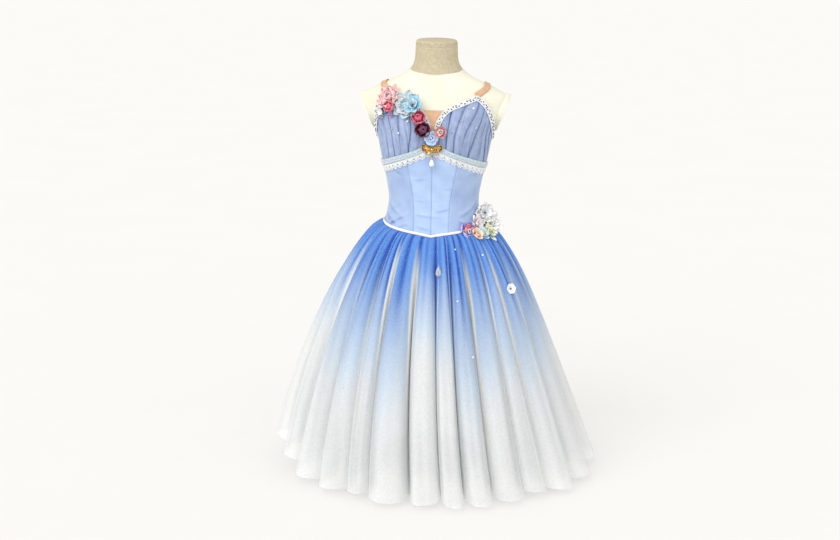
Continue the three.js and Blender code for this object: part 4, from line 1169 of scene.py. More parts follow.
def flat_strip(work, length, low, high, columns, height=0.0, slot=0, edge=None):
    """A long strip from 0 to length; edge(x) may move its low side."""
    made = bmesh.ops.create_grid(work, x_segments=columns, y_segments=1, size=0.5)["verts"]
    for face in {f for vert in made for f in vert.link_faces}:
        face.material_index = slot
    for vert in made:
        x = (vert.co.x + 0.5) * length
        y = (low + (edge(x) if edge else 0)) if vert.co.y < 0 else high
        vert.co = (x, y, height)


def bead(work, centre, radius, slot=0, squash=(1, 1, 1), subdivisions=1):
    """A ball, or a squashed one, of its own material."""
    known = set(work.faces)
    matrix = Matrix.Translation(centre) @ Matrix.Diagonal((*squash, 1))
    bmesh.ops.create_icosphere(work, subdivisions=subdivisions, radius=radius, matrix=matrix)
    for face in set(work.faces) - known:
        face.material_index = slot


def carry(work, place):
    """Moves every point of a flat trim, in millimetres, to where its path has it, in metres."""
    for vert in work.verts:
        vert.co = place(vert.co.x, vert.co.y, vert.co.z) * MM


# %% [markdown]
# The cups are edged with a woven braid: a flat tape with two raised cords, small loops along both
# sides, and rows of beads that are sewn on afterwards. The beads are an object of their own.

# %% The braid round the cups
TRIM_FROM = BODICE_TO + PLEAT_HEIGHT + SEAM_GAP * 2
BRAID_LOW, BRAID_HIGH, BRAID_THICK = -10.5, 2.0, 1.2
PICOT_PITCH, BEAD_PITCH = 3.6, 6.4


def braid_spots(side):
    """The upper edge of a cup, from the left end of its braid to the right one."""
    def spots(share):
        share = share if side > 0 else 1 - share
        angle, z = row_at(CUP_EDGE, mix(0.06, 1, share))
        return side * angle, z
    return spots


def add_seed_row(work, length, across, pitch, radius, height, slots, squash=(1.6, 1, 0.8)):
    """A row of small beads, whose slots repeat."""
    for k in range(int(length / pitch)):
        bead(work, ((k + 0.5) * pitch, across, height), radius, slots[k % len(slots)], squash)


for braid_side, word in SIDES:
    path = Path(braid_spots(braid_side))
    work = bmesh.new()
    flat_strip(work, path.length, BRAID_LOW + 1, BRAID_HIGH - 2.2, 150)
    for across in (BRAID_LOW + 1.6, BRAID_HIGH - 3.0):
        flat_strip(work, path.length, across - 0.9, across + 0.9, 150, height=0.8)
    for k in range(int(path.length / PICOT_PITCH)):
        flat_ring(work, ((k + 0.5) * PICOT_PITCH, BRAID_HIGH - 1.4), 2.2, 0.9, 8, height=0.3)
        flat_ring(work, (k * PICOT_PITCH, BRAID_LOW + 1.0), 1.9, 0.9, 8, height=0.3)
    carry(work, lambda x, y, h, p=path: p.at(x / p.length, y, TRIM_FROM + BRAID_THICK + h * 0.6))
    braid = thicken(finished(f"cup_braid_{word}_woven", work, BRAID_COTTON), 0.8)
    dress_piece(braid, "beaded_braid", f"cup_braid_{word}")

    work = bmesh.new()
    for across, radius, slots in ((-6.6, 1.5, (0, 1, 0, 0, 1)), (-2.6, 1.5, (1, 0, 0, 1, 0)),
                                  (-4.6, 1.0, (1,))):
        add_seed_row(work, path.length, across, BEAD_PITCH, radius, TRIM_FROM + BRAID_THICK + 0.7,
                     slots)
    carry(work, lambda x, y, h, p=path: p.at(x / p.length, y, h))
    seeds = finished(f"cup_braid_{word}_beads", work, [JET_BEAD, PEARL_LACQUER])
    dress_piece(seeds, "beaded_braid")

# %% [markdown]
# Under the bust lie a ribbon with a metal thread and, below it, a guipure lace: scallops, rings and
# leaves of thread that hold each other without a net. Both follow the line of the band, and the
# stitches of the lace are small discs and rings, repeated once for each scallop.

# %% The path under the bust
BAND_LOW, BAND_HIGH, BAND_THICK = -10.5, 4.0, 1.4
LACE_HIGH, LACE_THICK, SCALLOPS = -11.0, 1.2, 12
LACE_FROM = BODICE_TO + SEAM_GAP * 3.5
DASH_PITCH = 4.2


class BandPath:
    """The line under the bust, from the centre front to the side seam; across is straight up."""

    def __init__(self, side, steps=120):
        self.side = side
        self.angles = [mix(HALF_GAP_ANGLE, SIDE_ANGLE - HALF_GAP_ANGLE, i / steps)
                       for i in range(steps + 1)]
        points = [skin(a, band_z(a)) for a in self.angles]
        self.marks = [0.0]
        for a, b in zip(points, points[1:]):
            self.marks.append(self.marks[-1] + (b - a).length)
        self.length = self.marks[-1]

    def at(self, along, across, off):
        along = clamp(along if self.side > 0 else self.length - along, 0, self.length)
        k = 0
        while k < len(self.marks) - 2 and self.marks[k + 1] < along:
            k += 1
        t = (along - self.marks[k]) / (self.marks[k + 1] - self.marks[k])
        angle = mix(self.angles[k], self.angles[k + 1], t)
        return off_skin(self.side * angle, band_z(angle) + across, off)


# %% The ribbon and the lace
for band_side, word in SIDES:
    path = BandPath(band_side)
    top = TRIM_FROM + BAND_THICK
    work = bmesh.new()
    flat_strip(work, path.length, BAND_LOW, BAND_HIGH, 90)
    for across in (BAND_LOW + 1.4, BAND_HIGH - 1.4, -3.2):
        flat_strip(work, path.length, across - 0.8, across + 0.8, 90, height=0.7)
    for k in range(int(path.length / DASH_PITCH)):
        for across, lean in ((0.6, 0.6), (-6.6, -0.6)):
            flat_dot(work, ((k + 0.5) * DASH_PITCH, across), 1.8, 8, 0.8, slot=1, squash=0.5,
                     angle=lean)
    carry(work, lambda x, y, h, p=path, t=top: p.at(x, y, t + h))
    band = thicken(finished(f"underbust_ribbon_{word}", work, [LUREX_RIBBON, GUIPURE_COTTON]), 0.7)
    dress_piece(band, "mint_ribbon", f"underbust_band_{word}")

    repeat = path.length / SCALLOPS
    work = bmesh.new()
    flat_strip(work, path.length, LACE_HIGH - 4.5, LACE_HIGH, 72)
    for k in range(SCALLOPS):
        middle = (k + 0.5) * repeat
        flat_ring(work, (middle, -20.0), repeat * 0.5, repeat * 0.5 - 2.4, 14, math.pi, math.pi)
        flat_ring(work, (middle, -19.4), 4.6, 3.2, 12, height=0.2)
        for petal in range(6):
            turn = petal * math.pi / 3 + 0.3
            flat_dot(work, (middle + 2.5 * math.cos(turn), -19.0 + 2.5 * math.sin(turn)), 1.8, 8,
                     0.3, squash=0.7, angle=turn)
            flat_dot(work, (middle + 6.3 * math.cos(turn), -21.0 + 4.6 * math.sin(turn)), 1.7, 8,
                     0.1 + 0.05 * petal, squash=0.75, angle=turn)
        flat_dot(work, (middle, -19.0), 1.3, 8, 0.6)
        for edge_side in (-1, 1):
            flat_dot(work, (middle + edge_side * 5.3, -16.6), 2.9, 8, 0.1, squash=0.6,
                     angle=edge_side * 0.9)
            flat_dot(work, (middle + edge_side * 2.2, -15.0), 2.4, 8, 0.15, squash=0.6,
                     angle=edge_side * 1.2)
    carry(work, lambda x, y, h, p=path: p.at(x, y, LACE_FROM + LACE_THICK + h))
    lace = thicken(finished(f"lace_edging_{word}_guipure", work, GUIPURE_COTTON), 0.8)
    dress_piece(lace, "white_lace", f"lace_edging_{word}")

# %% [markdown]
# The seam at the waist is covered by a piping, a cord in a strip of bias satin. At the centre back a
# tape carries hooks and eyes. The photograph doesn't show the back, so the tape is kept plain.

# %% The piping at the waist
PIPING_FROM = BODICE_TO + SEAM_GAP * 2
PIPING_RISE, PIPING_HALF_HEIGHT, PIPING_HALF_DEPTH = 3.3, 3.4, 1.6
PIPING_COLUMNS, PIPING_ROWS = 220, 12


def piping_place(u, v):
    """A point of the piping; v runs round the cord."""
    angle = u * 360 - 180
    turn = v * 2 * math.pi
    rise = PIPING_RISE + PIPING_HALF_HEIGHT * math.sin(turn)
    off = PIPING_FROM + PIPING_HALF_DEPTH * (1 - math.cos(turn))
    return off_skin(angle, waist_z(angle) + rise, off)


work = bmesh.new()
grid(work, PIPING_COLUMNS, PIPING_ROWS, piping_place, join_sides=True)
bmesh.ops.recalc_face_normals(work, faces=work.faces)
piping = finished("waist_piping_satin", work, SATIN_BINDING)
dress_piece(piping, "white_piping", "waist_piping")

# %% The hook tape
TAPE_HALF_WIDTH, TAPE_FROM, TAPE_THICK = 7, BODICE_TO + SEAM_GAP * 2, 1.4
TAPE_COLUMNS, TAPE_ROWS = 10, 70
TAPE_FOOT, TAPE_TOP = waist_z(180) + 8, BACK_TOP_Z - 1
HOOK_PITCH = 16


def tape_place(u, v):
    """A point of the tape; v runs up it."""
    return path_tape.at(v, mix(TAPE_HALF_WIDTH, -TAPE_HALF_WIDTH, u), TAPE_FROM + TAPE_THICK)


path_tape = Path(lambda share: (180, mix(TAPE_FOOT, TAPE_TOP, share)))
tape = cloth("back_hook_tape_woven", TAPE_COLUMNS, TAPE_ROWS, tape_place, DUCHESS_SATIN,
             TAPE_THICK)
dress_piece(tape, "hook_tape", "back_hook_tape")
declare(tape, tape_place, TAPE_COLUMNS, "stretched", ["bodice_back_centre_left_satin"])

work = bmesh.new()
for k in range(int(path_tape.length / HOOK_PITCH)):
    along = (k + 0.5) * HOOK_PITCH
    flat_ring(work, (along, 3.0), 1.9, 1.1, 12, height=0.5)
    flat_ring(work, (along, -1.2), 1.5, 0.8, 12, math.pi, math.pi, height=0.5)
    shank = bmesh.ops.create_cube(work, size=1)["verts"]
    bmesh.ops.scale(work, verts=shank, vec=(1.0, 4.4, 0.5))
    bmesh.ops.translate(work, verts=shank, vec=(along, 0.6, 0.9))
carry(work, lambda x, y, h: path_tape.at(x / path_tape.length, y, TAPE_FROM + TAPE_THICK + h))
hooks = thicken(finished("back_hooks_and_eyes", work, STEEL_HOOK), 0.4, 1.0)
dress_piece(hooks, "hook_tape")

# %% [markdown]
# A silk flower is petals cut from organza or ribbon, cupped with a hot iron and gathered on a wire.
# One function makes a petal as a small sheet: it widens and closes along its length, curls up, and
# its rim may ruffle. A flower is rings of such petals, each ring smaller and steeper than the last.


# %% Dyed silk
def petal_material(name, heart, tip, roughness=0.6, alpha=1.0):
    """Dyed silk whose colour runs from the petal's heart to its tip."""
    material, tree, shader = new_material(name)
    set_values(shader, roughness=roughness, sheen=0.3, alpha=alpha)
    along = add(tree, "ShaderNodeAttribute", attribute_name=ALONG).outputs["Fac"]
    where = add(tree, "ShaderNodeTexCoord").outputs["Object"]
    mottle = add(tree, "ShaderNodeTexNoise", {"Scale": per_metre(9), "Detail": 4.0},
                 {"Vector": where}).outputs["Fac"]
    shifted = add(tree, "ShaderNodeMath", {1: 0.35}, {0: mottle, 2: along},
                  operation="MULTIPLY_ADD").outputs[0]
    look = add(tree, "ShaderNodeValToRGB", links={"Fac": shifted},
               stops=[(0.2, heart), (1.1 / 1.2, tip)]).outputs["Color"]
    tree.links.new(look, shader.inputs["Base Color"])
    bump = add(tree, "ShaderNodeBump", {"Strength": 0.3, "Distance": 0.2 * MM}, {"Height": mottle})
    tree.links.new(bump.outputs["Normal"], shader.inputs["Normal"])
    return material


# %% One petal
def add_petal(work, length, width, tilt, turn, curl=0.5, cup=0.2, ruffle=0.0, point=0.5, seed=0,
              slot=0, height=0.0):
    """Adds one petal. tilt lifts it off the flower's plane, turn sets its place in the ring."""
    def place(u, v):
        side = mix(-1, 1, u)
        out = 1 - (1 - v) ** 1.5
        rounding = clamp(1 - clamp((out - 0.55) / 0.45) ** 2) ** point
        x = side * width / 2 * mix(0.3, 1, ease(0, 0.6, out)) * rounding
        frill = 1 + 0.6 * ruffle * math.sin(side * 8 + seed * 2.3) * out * out
        along = length * out * frill
        bend = tilt + curl * out
        wave = ruffle * length * out * out * math.sin(side * 5.0 + seed * 1.7)
        lift = cup * width * side * side * out + wave
        forward = along * math.cos(bend) - lift * math.sin(bend)
        rise = along * math.sin(bend) + lift * math.cos(bend) + height
        return Vector((forward * math.cos(turn) - x * math.sin(turn),
                       forward * math.sin(turn) + x * math.cos(turn), rise))
    grid(work, 8, 8, place, {ALONG: lambda u, v: v}, slot)


# %% Where a flower lies
FLOWER_SINK = 0.45


def facing_frame(node_name, yaw=0, lean=0, nudge=(0, 0)):
    """The frame of a flower: it lies on the back of the node that it stands for."""
    low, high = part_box(node_name)
    centre = (low + high) / 2
    angle = math.degrees(math.atan2(centre.x, -centre.y))
    normal = skin_normal(angle, centre.z / MM)
    normal.rotate(Quaternion((0, 0, 1), math.radians(yaw)))
    right = Vector((0, 0, 1)).cross(normal).normalized()
    normal.rotate(Quaternion(right, -math.radians(lean)))
    up = normal.cross(right)
    basis = Matrix((right, up, normal)).transposed().to_4x4()
    deep = min(high - low) * FLOWER_SINK
    place = centre - normal * deep + right * nudge[0] * MM + up * nudge[1] * MM
    return Matrix.Translation(place) @ basis


# %% The silks, from the wearer's right shoulder to the left hip
PINK_ORGANZA = petal_material("coral_pink_organza", "#ee9aa0", "#ffdcdc")
PALE_BLUE_ORGANZA = petal_material("pale_blue_organza", "#a3cfea", "#e6f4fd", alpha=0.9)
WHITE_ORGANZA = petal_material("white_organza", "#e9f2fa", "#ffffff", alpha=0.95)
AQUA_ORGANZA = petal_material("aqua_organza", "#3a9cc0", "#c2e6f4")
ROSE_SATIN = petal_material("rose_satin_ribbon", "#a5203f", "#e8788c", roughness=0.35)
CRIMSON_SATIN = petal_material("crimson_satin_ribbon", "#8e1633", "#d9607a", roughness=0.35)
PLUM_SATIN = petal_material("plum_satin_ribbon", "#2a0820", "#6d2450", roughness=0.35)
LILAC_SATIN = petal_material("lilac_satin_ribbon", "#a06fa6", "#d9b4e0", roughness=0.35)
GREY_ORGANZA = petal_material("grey_violet_organza", "#33364c", "#aeb2cb", alpha=0.9)
SKY_SATIN = petal_material("sky_blue_satin", "#8fb0e2", "#c9dcf8", roughness=0.4)
CORAL_SATIN = petal_material("coral_satin", "#93333f", "#dfa0a0", roughness=0.4)
VIOLET_SATIN = petal_material("violet_satin", "#5b63dd", "#c8b8f2", roughness=0.4)
HOT_PINK_SATIN = petal_material("hot_pink_satin", "#e0567f", "#f3a5bb", roughness=0.4)
BLUSH_ORGANZA = petal_material("blush_organza", "#c6b2cb", "#fdf4f4")
GREEN_WHITE_SILK = petal_material("green_white_silk", "#d2d9c6", "#ffffff")
GREY_WHITE_TULLE = petal_material("grey_white_tulle", "#d3d9e2", "#ffffff", alpha=0.9)
ICE_AQUA_SILK = petal_material("ice_aqua_silk", "#9cc8d6", "#e4f6f9")
CREAM_SILK = petal_material("cream_silk", "#c2551f", "#fbe9d2")
CREAM_GREEN_FELT = petal_material("cream_green_felt", "#9dac6d", "#eeeed0", roughness=0.9)
TEAL_HEART = petal_material("teal_silk_heart", "#0b3f52", "#2f8ba3", roughness=0.45)
print("finishes now:", len(bpy.data.materials))


# %% Making a flower
PETAL_THICK = 0.35


def flower(name, node_name, slot_name, layers, materials, yaw=0, lean=0, nudge=(0, 0), hearts=(),
           seed=1):
    """A flower from its rings of petals, each a dict of the ring's count and its petals' sizes."""
    luck = random.Random(seed)
    work = bmesh.new()
    for layer in layers:
        count = layer["count"]
        options = {k: v for k, v in layer.items() if k not in ("count", "shift")}
        for k in range(count):
            sizes = dict(options)
            sizes["length"] *= luck.uniform(0.88, 1.06)
            sizes["width"] *= luck.uniform(0.9, 1.1)
            sizes["tilt"] += luck.uniform(-0.12, 0.12)
            turn = 2 * math.pi * (k + layer.get("shift", 0)) / count + luck.uniform(-0.12, 0.12)
            add_petal(work, turn=turn, seed=luck.uniform(0, 6), **sizes)
    for x, y, z, radius, slot in hearts:
        bead(work, (x * MM, y * MM, z * MM), radius * MM, slot, subdivisions=2)
    bmesh.ops.transform(work, matrix=facing_frame(node_name, yaw, lean, nudge), verts=work.verts)
    made = finished(name, work, materials)
    thicken(made, PETAL_THICK, 0.0)
    dress_piece(made, slot_name, node_name)
    return made


def ring_of(count, length, width, tilt, **more):
    """One ring of a flower; length and width in millimetres, tilt in radians."""
    return dict(count=count, length=length, width=width, tilt=tilt, **more)


# %% The spray on the wearer's right cup
flower("bloom_pink_ruffle", "flower_pink_ruffle", "pink_petals", [
    ring_of(10, 36, 22, 0.05, curl=0.35, ruffle=0.09),
    ring_of(9, 29, 20, 0.3, curl=0.4, ruffle=0.12, shift=0.5),
    ring_of(7, 20, 17, 0.65, curl=0.4, ruffle=0.14),
    ring_of(5, 13, 12, 1.0, curl=0.3, ruffle=0.14, shift=0.5),
], [PINK_ORGANZA], nudge=(2, -4), seed=3)
flower("bloom_pale_blue", "flower_pale_blue", "blue_petals", [
    ring_of(8, 42, 27, 0.02, curl=0.25, ruffle=0.06, point=0.8),
    ring_of(7, 34, 25, 0.25, curl=0.3, ruffle=0.08, shift=0.5, slot=1, point=0.8),
    ring_of(6, 25, 20, 0.5, curl=0.35, ruffle=0.1),
    ring_of(5, 16, 14, 0.85, curl=0.3, ruffle=0.1, shift=0.5, slot=1),
], [PALE_BLUE_ORGANZA, WHITE_ORGANZA], nudge=(0, -6), seed=4)
flower("bloom_aqua", "flower_aqua", "blue_petals", [
    ring_of(6, 29, 20, 0.1, curl=0.3, ruffle=0.07, point=0.8),
    ring_of(5, 19, 15, 0.5, curl=0.35, ruffle=0.08, shift=0.5, slot=2),
    ring_of(4, 9, 9, 0.95, curl=0.3, slot=1),
], [AQUA_ORGANZA, TEAL_HEART, PALE_BLUE_ORGANZA], nudge=(3, -7), seed=5)


def rose_rings(size, slot=0, heart_slot=None):
    """Petals of a ribbon rose: steep and tight in the heart, open outside."""
    heart = slot if heart_slot is None else heart_slot
    return [
        ring_of(5, size, size * 1.15, 0.2, curl=0.5, cup=0.2, ruffle=0.05, slot=slot),
        ring_of(5, size * 0.8, size * 0.95, 0.6, curl=0.5, cup=0.25, shift=0.5, slot=slot),
        ring_of(4, size * 0.62, size * 0.8, 0.95, curl=0.4, cup=0.3, slot=slot),
        ring_of(3, size * 0.5, size * 0.6, 1.2, curl=0.2, cup=0.4, shift=0.5, slot=heart),
        ring_of(3, size * 0.38, size * 0.4, 1.4, curl=0.1, cup=0.5, slot=heart),
    ]


flower("bloom_rose_pink", "flower_rose_pink", "red_petals", rose_rings(20), [ROSE_SATIN],
       nudge=(1, -4), seed=6)
flower("bloom_rose_red", "flower_rose_red", "red_petals", rose_rings(26), [CRIMSON_SATIN],
       nudge=(-4, -5), seed=7)
flower("bloom_rose_plum", "flower_rose_plum", "plum_petals", rose_rings(27, heart_slot=1),
       [PLUM_SATIN, LILAC_SATIN], nudge=(-5, -2), seed=8)
flower("bloom_violet_organza", "flower_violet_organza", "violet_petals", [
    ring_of(6, 22, 13, 0.1, curl=0.3, ruffle=0.08, point=0.8),
    ring_of(5, 16, 11, 0.5, curl=0.3, ruffle=0.1, point=0.8, shift=0.5, slot=1),
], [GREY_ORGANZA, WHITE_ORGANZA], nudge=(0, -2), seed=9)
flower("bloom_mauve_bud", "flower_rose_pink", "violet_petals", [
    ring_of(4, 9, 8, 0.3, curl=0.4, ruffle=0.05),
    ring_of(3, 5, 5, 0.9, curl=0.3, shift=0.5),
], [LILAC_SATIN], nudge=(4, -24), seed=19)
flower("bloom_sky_blue", "flower_blue_centre", "blue_petals", [
    ring_of(6, 18, 18, 0.0, curl=0.1, cup=0.05),
    ring_of(5, 11, 11, 0.3, curl=0.3, shift=0.5),
], [SKY_SATIN, PEARL_LACQUER, JET_BEAD],
    hearts=[(0, 0, 3.4, 2.0, 1), (3.0, 0.6, 2.6, 1.3, 2), (-1.4, 2.7, 2.6, 1.3, 1),
            (-1.8, -2.5, 2.6, 1.3, 2), (1.9, -2.5, 2.6, 1.2, 1)], nudge=(0, 1), seed=10)
flower("bloom_coral", "flower_coral_bud", "red_petals", [
    ring_of(6, 20, 15, 0.1, curl=0.3, ruffle=0.08, point=0.8),
    ring_of(5, 13, 10, 0.5, curl=0.3, ruffle=0.06, shift=0.5, slot=2),
    ring_of(4, 8, 7, 0.8, curl=0.3),
], [CORAL_SATIN, PEARL_LACQUER, BLUSH_ORGANZA],
    hearts=[(0, 0, 3.2, 2.0, 1), (2.2, 1.0, 2.8, 1.2, 1)], nudge=(3, 0), seed=11)

# %% The spray on the wearer's left hip
flower("bloom_violet_pink", "flower_violet_pink", "violet_petals", [
    ring_of(5, 30, 30, 0.1, curl=0.35, ruffle=0.05),
    ring_of(4, 24, 24, 0.4, curl=0.4, ruffle=0.07, shift=0.9, slot=1),
    ring_of(4, 15, 15, 0.8, curl=0.3, slot=2),
], [VIOLET_SATIN, HOT_PINK_SATIN, BLUSH_ORGANZA], lean=20, nudge=(-1, -8), seed=12)
flower("bloom_blush_star", "flower_blush_star", "white_petals", [
    ring_of(6, 28, 17, 0.15, curl=0.3, ruffle=0.08, point=0.8),
    ring_of(5, 18, 13, 0.6, curl=0.3, ruffle=0.08, shift=0.5),
], [BLUSH_ORGANZA, LILAC_SATIN], lean=10, nudge=(3, -3), hearts=[(0, 0, 3, 2.4, 1)], seed=13)
flower("bloom_fringed", "flower_green_white_fringe", "white_petals", [
    ring_of(16, 40, 9, 0.1, curl=0.3, ruffle=0.05, point=0.7),
    ring_of(13, 31, 9, 0.4, curl=0.35, ruffle=0.06, point=0.7, shift=0.5),
    ring_of(9, 20, 9, 0.75, curl=0.3, point=0.7),
], [GREEN_WHITE_SILK], yaw=-45, lean=18, nudge=(10, -12), seed=14)
flower("bloom_white_tulle", "flower_white_tulle", "white_petals", [
    ring_of(8, 30, 21, 0.12, curl=0.25, ruffle=0.08),
    ring_of(7, 22, 17, 0.4, curl=0.3, ruffle=0.1, shift=0.5),
], [GREY_WHITE_TULLE, JET_BEAD], yaw=-48, lean=8, nudge=(0, -6), hearts=[(0, 0, 6, 2.4, 1)],
    seed=15)
flower("bloom_ice_aqua", "flower_pale_aqua", "blue_petals", [
    ring_of(4, 22, 20, 0.15, curl=0.3, cup=0.12),
    ring_of(4, 16, 15, 0.5, curl=0.3, cup=0.12, shift=0.5),
    ring_of(4, 10, 9, 0.9, curl=0.2),
], [ICE_AQUA_SILK], lean=20, nudge=(6, -7), seed=16)
flower("bloom_cream", "flower_orange_heart", "white_petals", [
    ring_of(5, 20, 16, 0.15, curl=0.4, ruffle=0.05),
    ring_of(4, 12, 11, 0.7, curl=0.3, shift=0.5),
], [CREAM_SILK], lean=20, nudge=(2, -7), seed=17)
flower("bloom_white_small", "flower_blush_star", "white_petals", [
    ring_of(6, 15, 12, 0.15, curl=0.4, ruffle=0.08),
    ring_of(5, 9, 8, 0.6, curl=0.3, shift=0.5),
], [WHITE_ORGANZA], lean=10, nudge=(22, -16), seed=20)
flower("leaves_felt", "leaves_cream_green", "green_petals", [
    ring_of(4, 27, 16, 0.1, curl=0.2, cup=0.12, point=0.9),
    ring_of(3, 20, 13, 0.4, curl=0.2, cup=0.12, point=0.9, shift=0.4),
], [CREAM_GREEN_FELT], yaw=-10, lean=20, nudge=(10, -10), seed=18)

# %% [markdown]
# The bow is cast: two hollow loops and two tails round a knot, with the edge of the ribbon raised.
# It keeps the outline of its solid. The pearl hangs from it on a ring and swings, so it is a piece of
# its own on its own body.

# %% The parts of the bow
BOW_Z = 833 * MM
BOW_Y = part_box("bow_brooch")[1].y
PEG_DROP = 16.5 * MM


def bow_loop(work, side):
    """One loop of the bow: a band of metal that leaves the knot, turns and comes back to it."""
    def place(u, v):
        along = 2 * math.pi * u
        wide = mix(1.0, 1.22, v)
        x = 1.0 + 20.5 * wide * math.sin(along / 2) ** 0.85
        z = 2.2 + 6.4 * wide * math.sin(along) + 0.13 * x
        return Vector((side * x, -(0.7 + 4.6 * v - 1.2 * math.sin(along / 2)), z))
    grid(work, 28, 4, place)


def bow_tail(work, side):
    """One tail of the bow: a strip that widens and curls forward at its end."""
    def place(u, v):
        half = mix(2.4, 4.8, v)
        spread = mix(-half, half, u)
        x = mix(2, 15, v) + 0.4 * spread
        z = mix(-1.5, -8.0, v) + 0.85 * spread + 0.8 * math.sin(5 * u) * v
        return Vector((side * x, -(1.4 + 1.6 * math.sin(math.pi * v) + 0.9 * math.cos(9 * u)), z))
    grid(work, 10, 8, place)


def bow_heart(work, side):
    """The back of a loop: metal that fills it, cast in ripples like gathered ribbon."""
    def place(u, v):
        x = mix(1.5, 19.5, u)
        half = 1.6 + 6.2 * math.sin(math.pi * mix(0.12, 0.92, u)) ** 0.8
        z = 2.2 + mix(-half, half, v) + 0.13 * x
        return Vector((side * x, -(1.6 + 1.1 * math.cos(11 * v + 2.5 * u)), z))
    grid(work, 12, 22, place)


# %% Casting the bow
KNOT_HALF, KNOT_AHEAD = (4.6, 3.4, 5.4), 3.6
LINK_SIZE, LINK_AHEAD, LINK_DROP = (2.4, 1.4, 14), 1.6, 11
PEG_PARTS = [
    # radius, depth, how far ahead of the bow's back: the peg and its head
    (1.2, 5.4, 2.7), (2.3, 1.0, 5.9),
]
BOW_WALL, BOW_EDGE = 0.9, 0.3
UPRIGHT = Matrix.Rotation(math.pi / 2, 4, "X")

work = bmesh.new()
for loop_side in (-1, 1):
    bow_loop(work, loop_side)
    bow_heart(work, loop_side)
    bow_tail(work, loop_side)
bmesh.ops.translate(work, verts=work.verts, vec=(0, BOW_Y, BOW_Z))
knot = bmesh.ops.create_icosphere(work, subdivisions=3, radius=1)["verts"]
bmesh.ops.scale(work, verts=knot, vec=Vector(KNOT_HALF) * MM)
bmesh.ops.translate(work, verts=knot, vec=(0, BOW_Y - KNOT_AHEAD * MM, BOW_Z))
link = bmesh.ops.create_cube(work, size=1)["verts"]
bmesh.ops.scale(work, verts=link, vec=Vector(LINK_SIZE) * MM)
bmesh.ops.translate(work, verts=link, vec=(0, BOW_Y - LINK_AHEAD * MM, BOW_Z - LINK_DROP * MM))
for radius, depth, ahead in PEG_PARTS:
    turned = Matrix.Translation((0, BOW_Y - ahead * MM, BOW_Z - PEG_DROP)) @ UPRIGHT
    bmesh.ops.create_cone(work, cap_ends=True, segments=20, radius1=radius * MM,
                          radius2=radius * MM, depth=depth * MM, matrix=turned)
bow = thicken(finished("bow_cast", work, GILT_BRASS), BOW_WALL, 0.0)
soft_edges = bow.modifiers.new("Soft edges", "BEVEL")
soft_edges.width = BOW_EDGE * MM
soft_edges.segments = 2
dress_piece(bow, "gold_metal", "bow_brooch")

# %% The pearl drop
PEARL_PROFILE = [
    # distance down from the ring, radius
    (2.2, 0.9), (5, 1.1), (7.2, 2.0), (10, 3.6), (14.2, 5.4), (18.2, 6.0), (21.6, 5.2), (24, 3.0),
    (24.6, 0.4),
]
PEARL_TOP, PEARL_FOOT = PEARL_PROFILE[0][0], PEARL_PROFILE[-1][0]
RING_Y = BOW_Y - 3.9 * MM
RING_RADIUS, RING_WIRE = 2.3, 0.65
CUP_HALF, CUP_DROP = (2.3, 2.3, 1.6), 6.2


def pearl_place(u, v):
    """A point of the pearl; v runs down it."""
    down = mix(PEARL_TOP, PEARL_FOOT, v)
    radius = row_at(PEARL_PROFILE, down)[0]
    turn = 2 * math.pi * u
    return Vector((radius * math.cos(turn), RING_Y / MM + radius * math.sin(turn),
                   (BOW_Z - PEG_DROP) / MM - down))


work = bmesh.new()
grid(work, 24, 22, pearl_place, join_sides=True)
close_ends(work)
pearl_faces = set(work.faces)
section_place = Matrix.Translation((RING_RADIUS * MM, 0, 0)) @ UPRIGHT
section = bmesh.ops.create_circle(work, cap_ends=False, radius=RING_WIRE * MM, segments=10,
                                  matrix=section_place)["verts"]
section_edges = list({edge for vert in section for edge in vert.link_edges})
bmesh.ops.spin(work, geom=section + section_edges, cent=(0, 0, 0), axis=(0, 0, 1),
               angle=2 * math.pi, steps=24, use_merge=True)
ring_faces = [face for face in work.faces if face not in pearl_faces]
ring_verts = list({vert for face in ring_faces for vert in face.verts})
hung = Matrix.Translation((0, RING_Y, BOW_Z - PEG_DROP)) @ UPRIGHT
bmesh.ops.transform(work, matrix=hung, verts=ring_verts)
metal_cup = bmesh.ops.create_icosphere(work, subdivisions=2, radius=1)["verts"]
bmesh.ops.scale(work, verts=metal_cup, vec=Vector(CUP_HALF) * MM)
bmesh.ops.translate(work, verts=metal_cup, vec=(0, RING_Y, BOW_Z - PEG_DROP - CUP_DROP * MM))
for face in set(work.faces) - pearl_faces:
    face.material_index = 1
bmesh.ops.recalc_face_normals(work, faces=work.faces)
pearl = finished("pearl_drop_lacquered", work, [PEARL_LACQUER, GILT_BRASS])
dress_piece(pearl, "pearl", "pearl_drop", body=PENDANT)

# %% [markdown]
# Single beads catch the light on the cups and on the skirt. Each is placed from a table, and sits
# with its lower side in the cloth, as a sewn bead does.

# %% Beads sewn to the cups
BEAD_SEAT = 3.6
CUP_BEADS = [
    # angle, height, radius, material
    (-20.5, 897, 2.9, 0), (-31, 871, 2.6, 0), (-38, 880, 1.9, 1), (-9, 868, 2.2, 0),
    (-11.5, 889, 1.8, 1), (31, 930, 2.9, 0), (26.5, 932, 1.7, 1), (8.5, 903, 2.3, 2),
    (23.5, 902, 2.3, 2), (17, 878, 2.3, 2), (-24, 862, 1.5, 1), (40, 886, 1.6, 0),
]
work = bmesh.new()
for angle, z, radius, slot in CUP_BEADS:
    centre = off_skin(angle, z, BODICE_TO + BEAD_SEAT + radius * 0.4) * MM
    bead(work, centre, radius * MM, slot, subdivisions=2)
cup_beads = finished("cup_beads", work, [PEARL_LACQUER, CHAMPAGNE_PEARL, CUT_CRYSTAL])
dress_piece(cup_beads, "pearl")


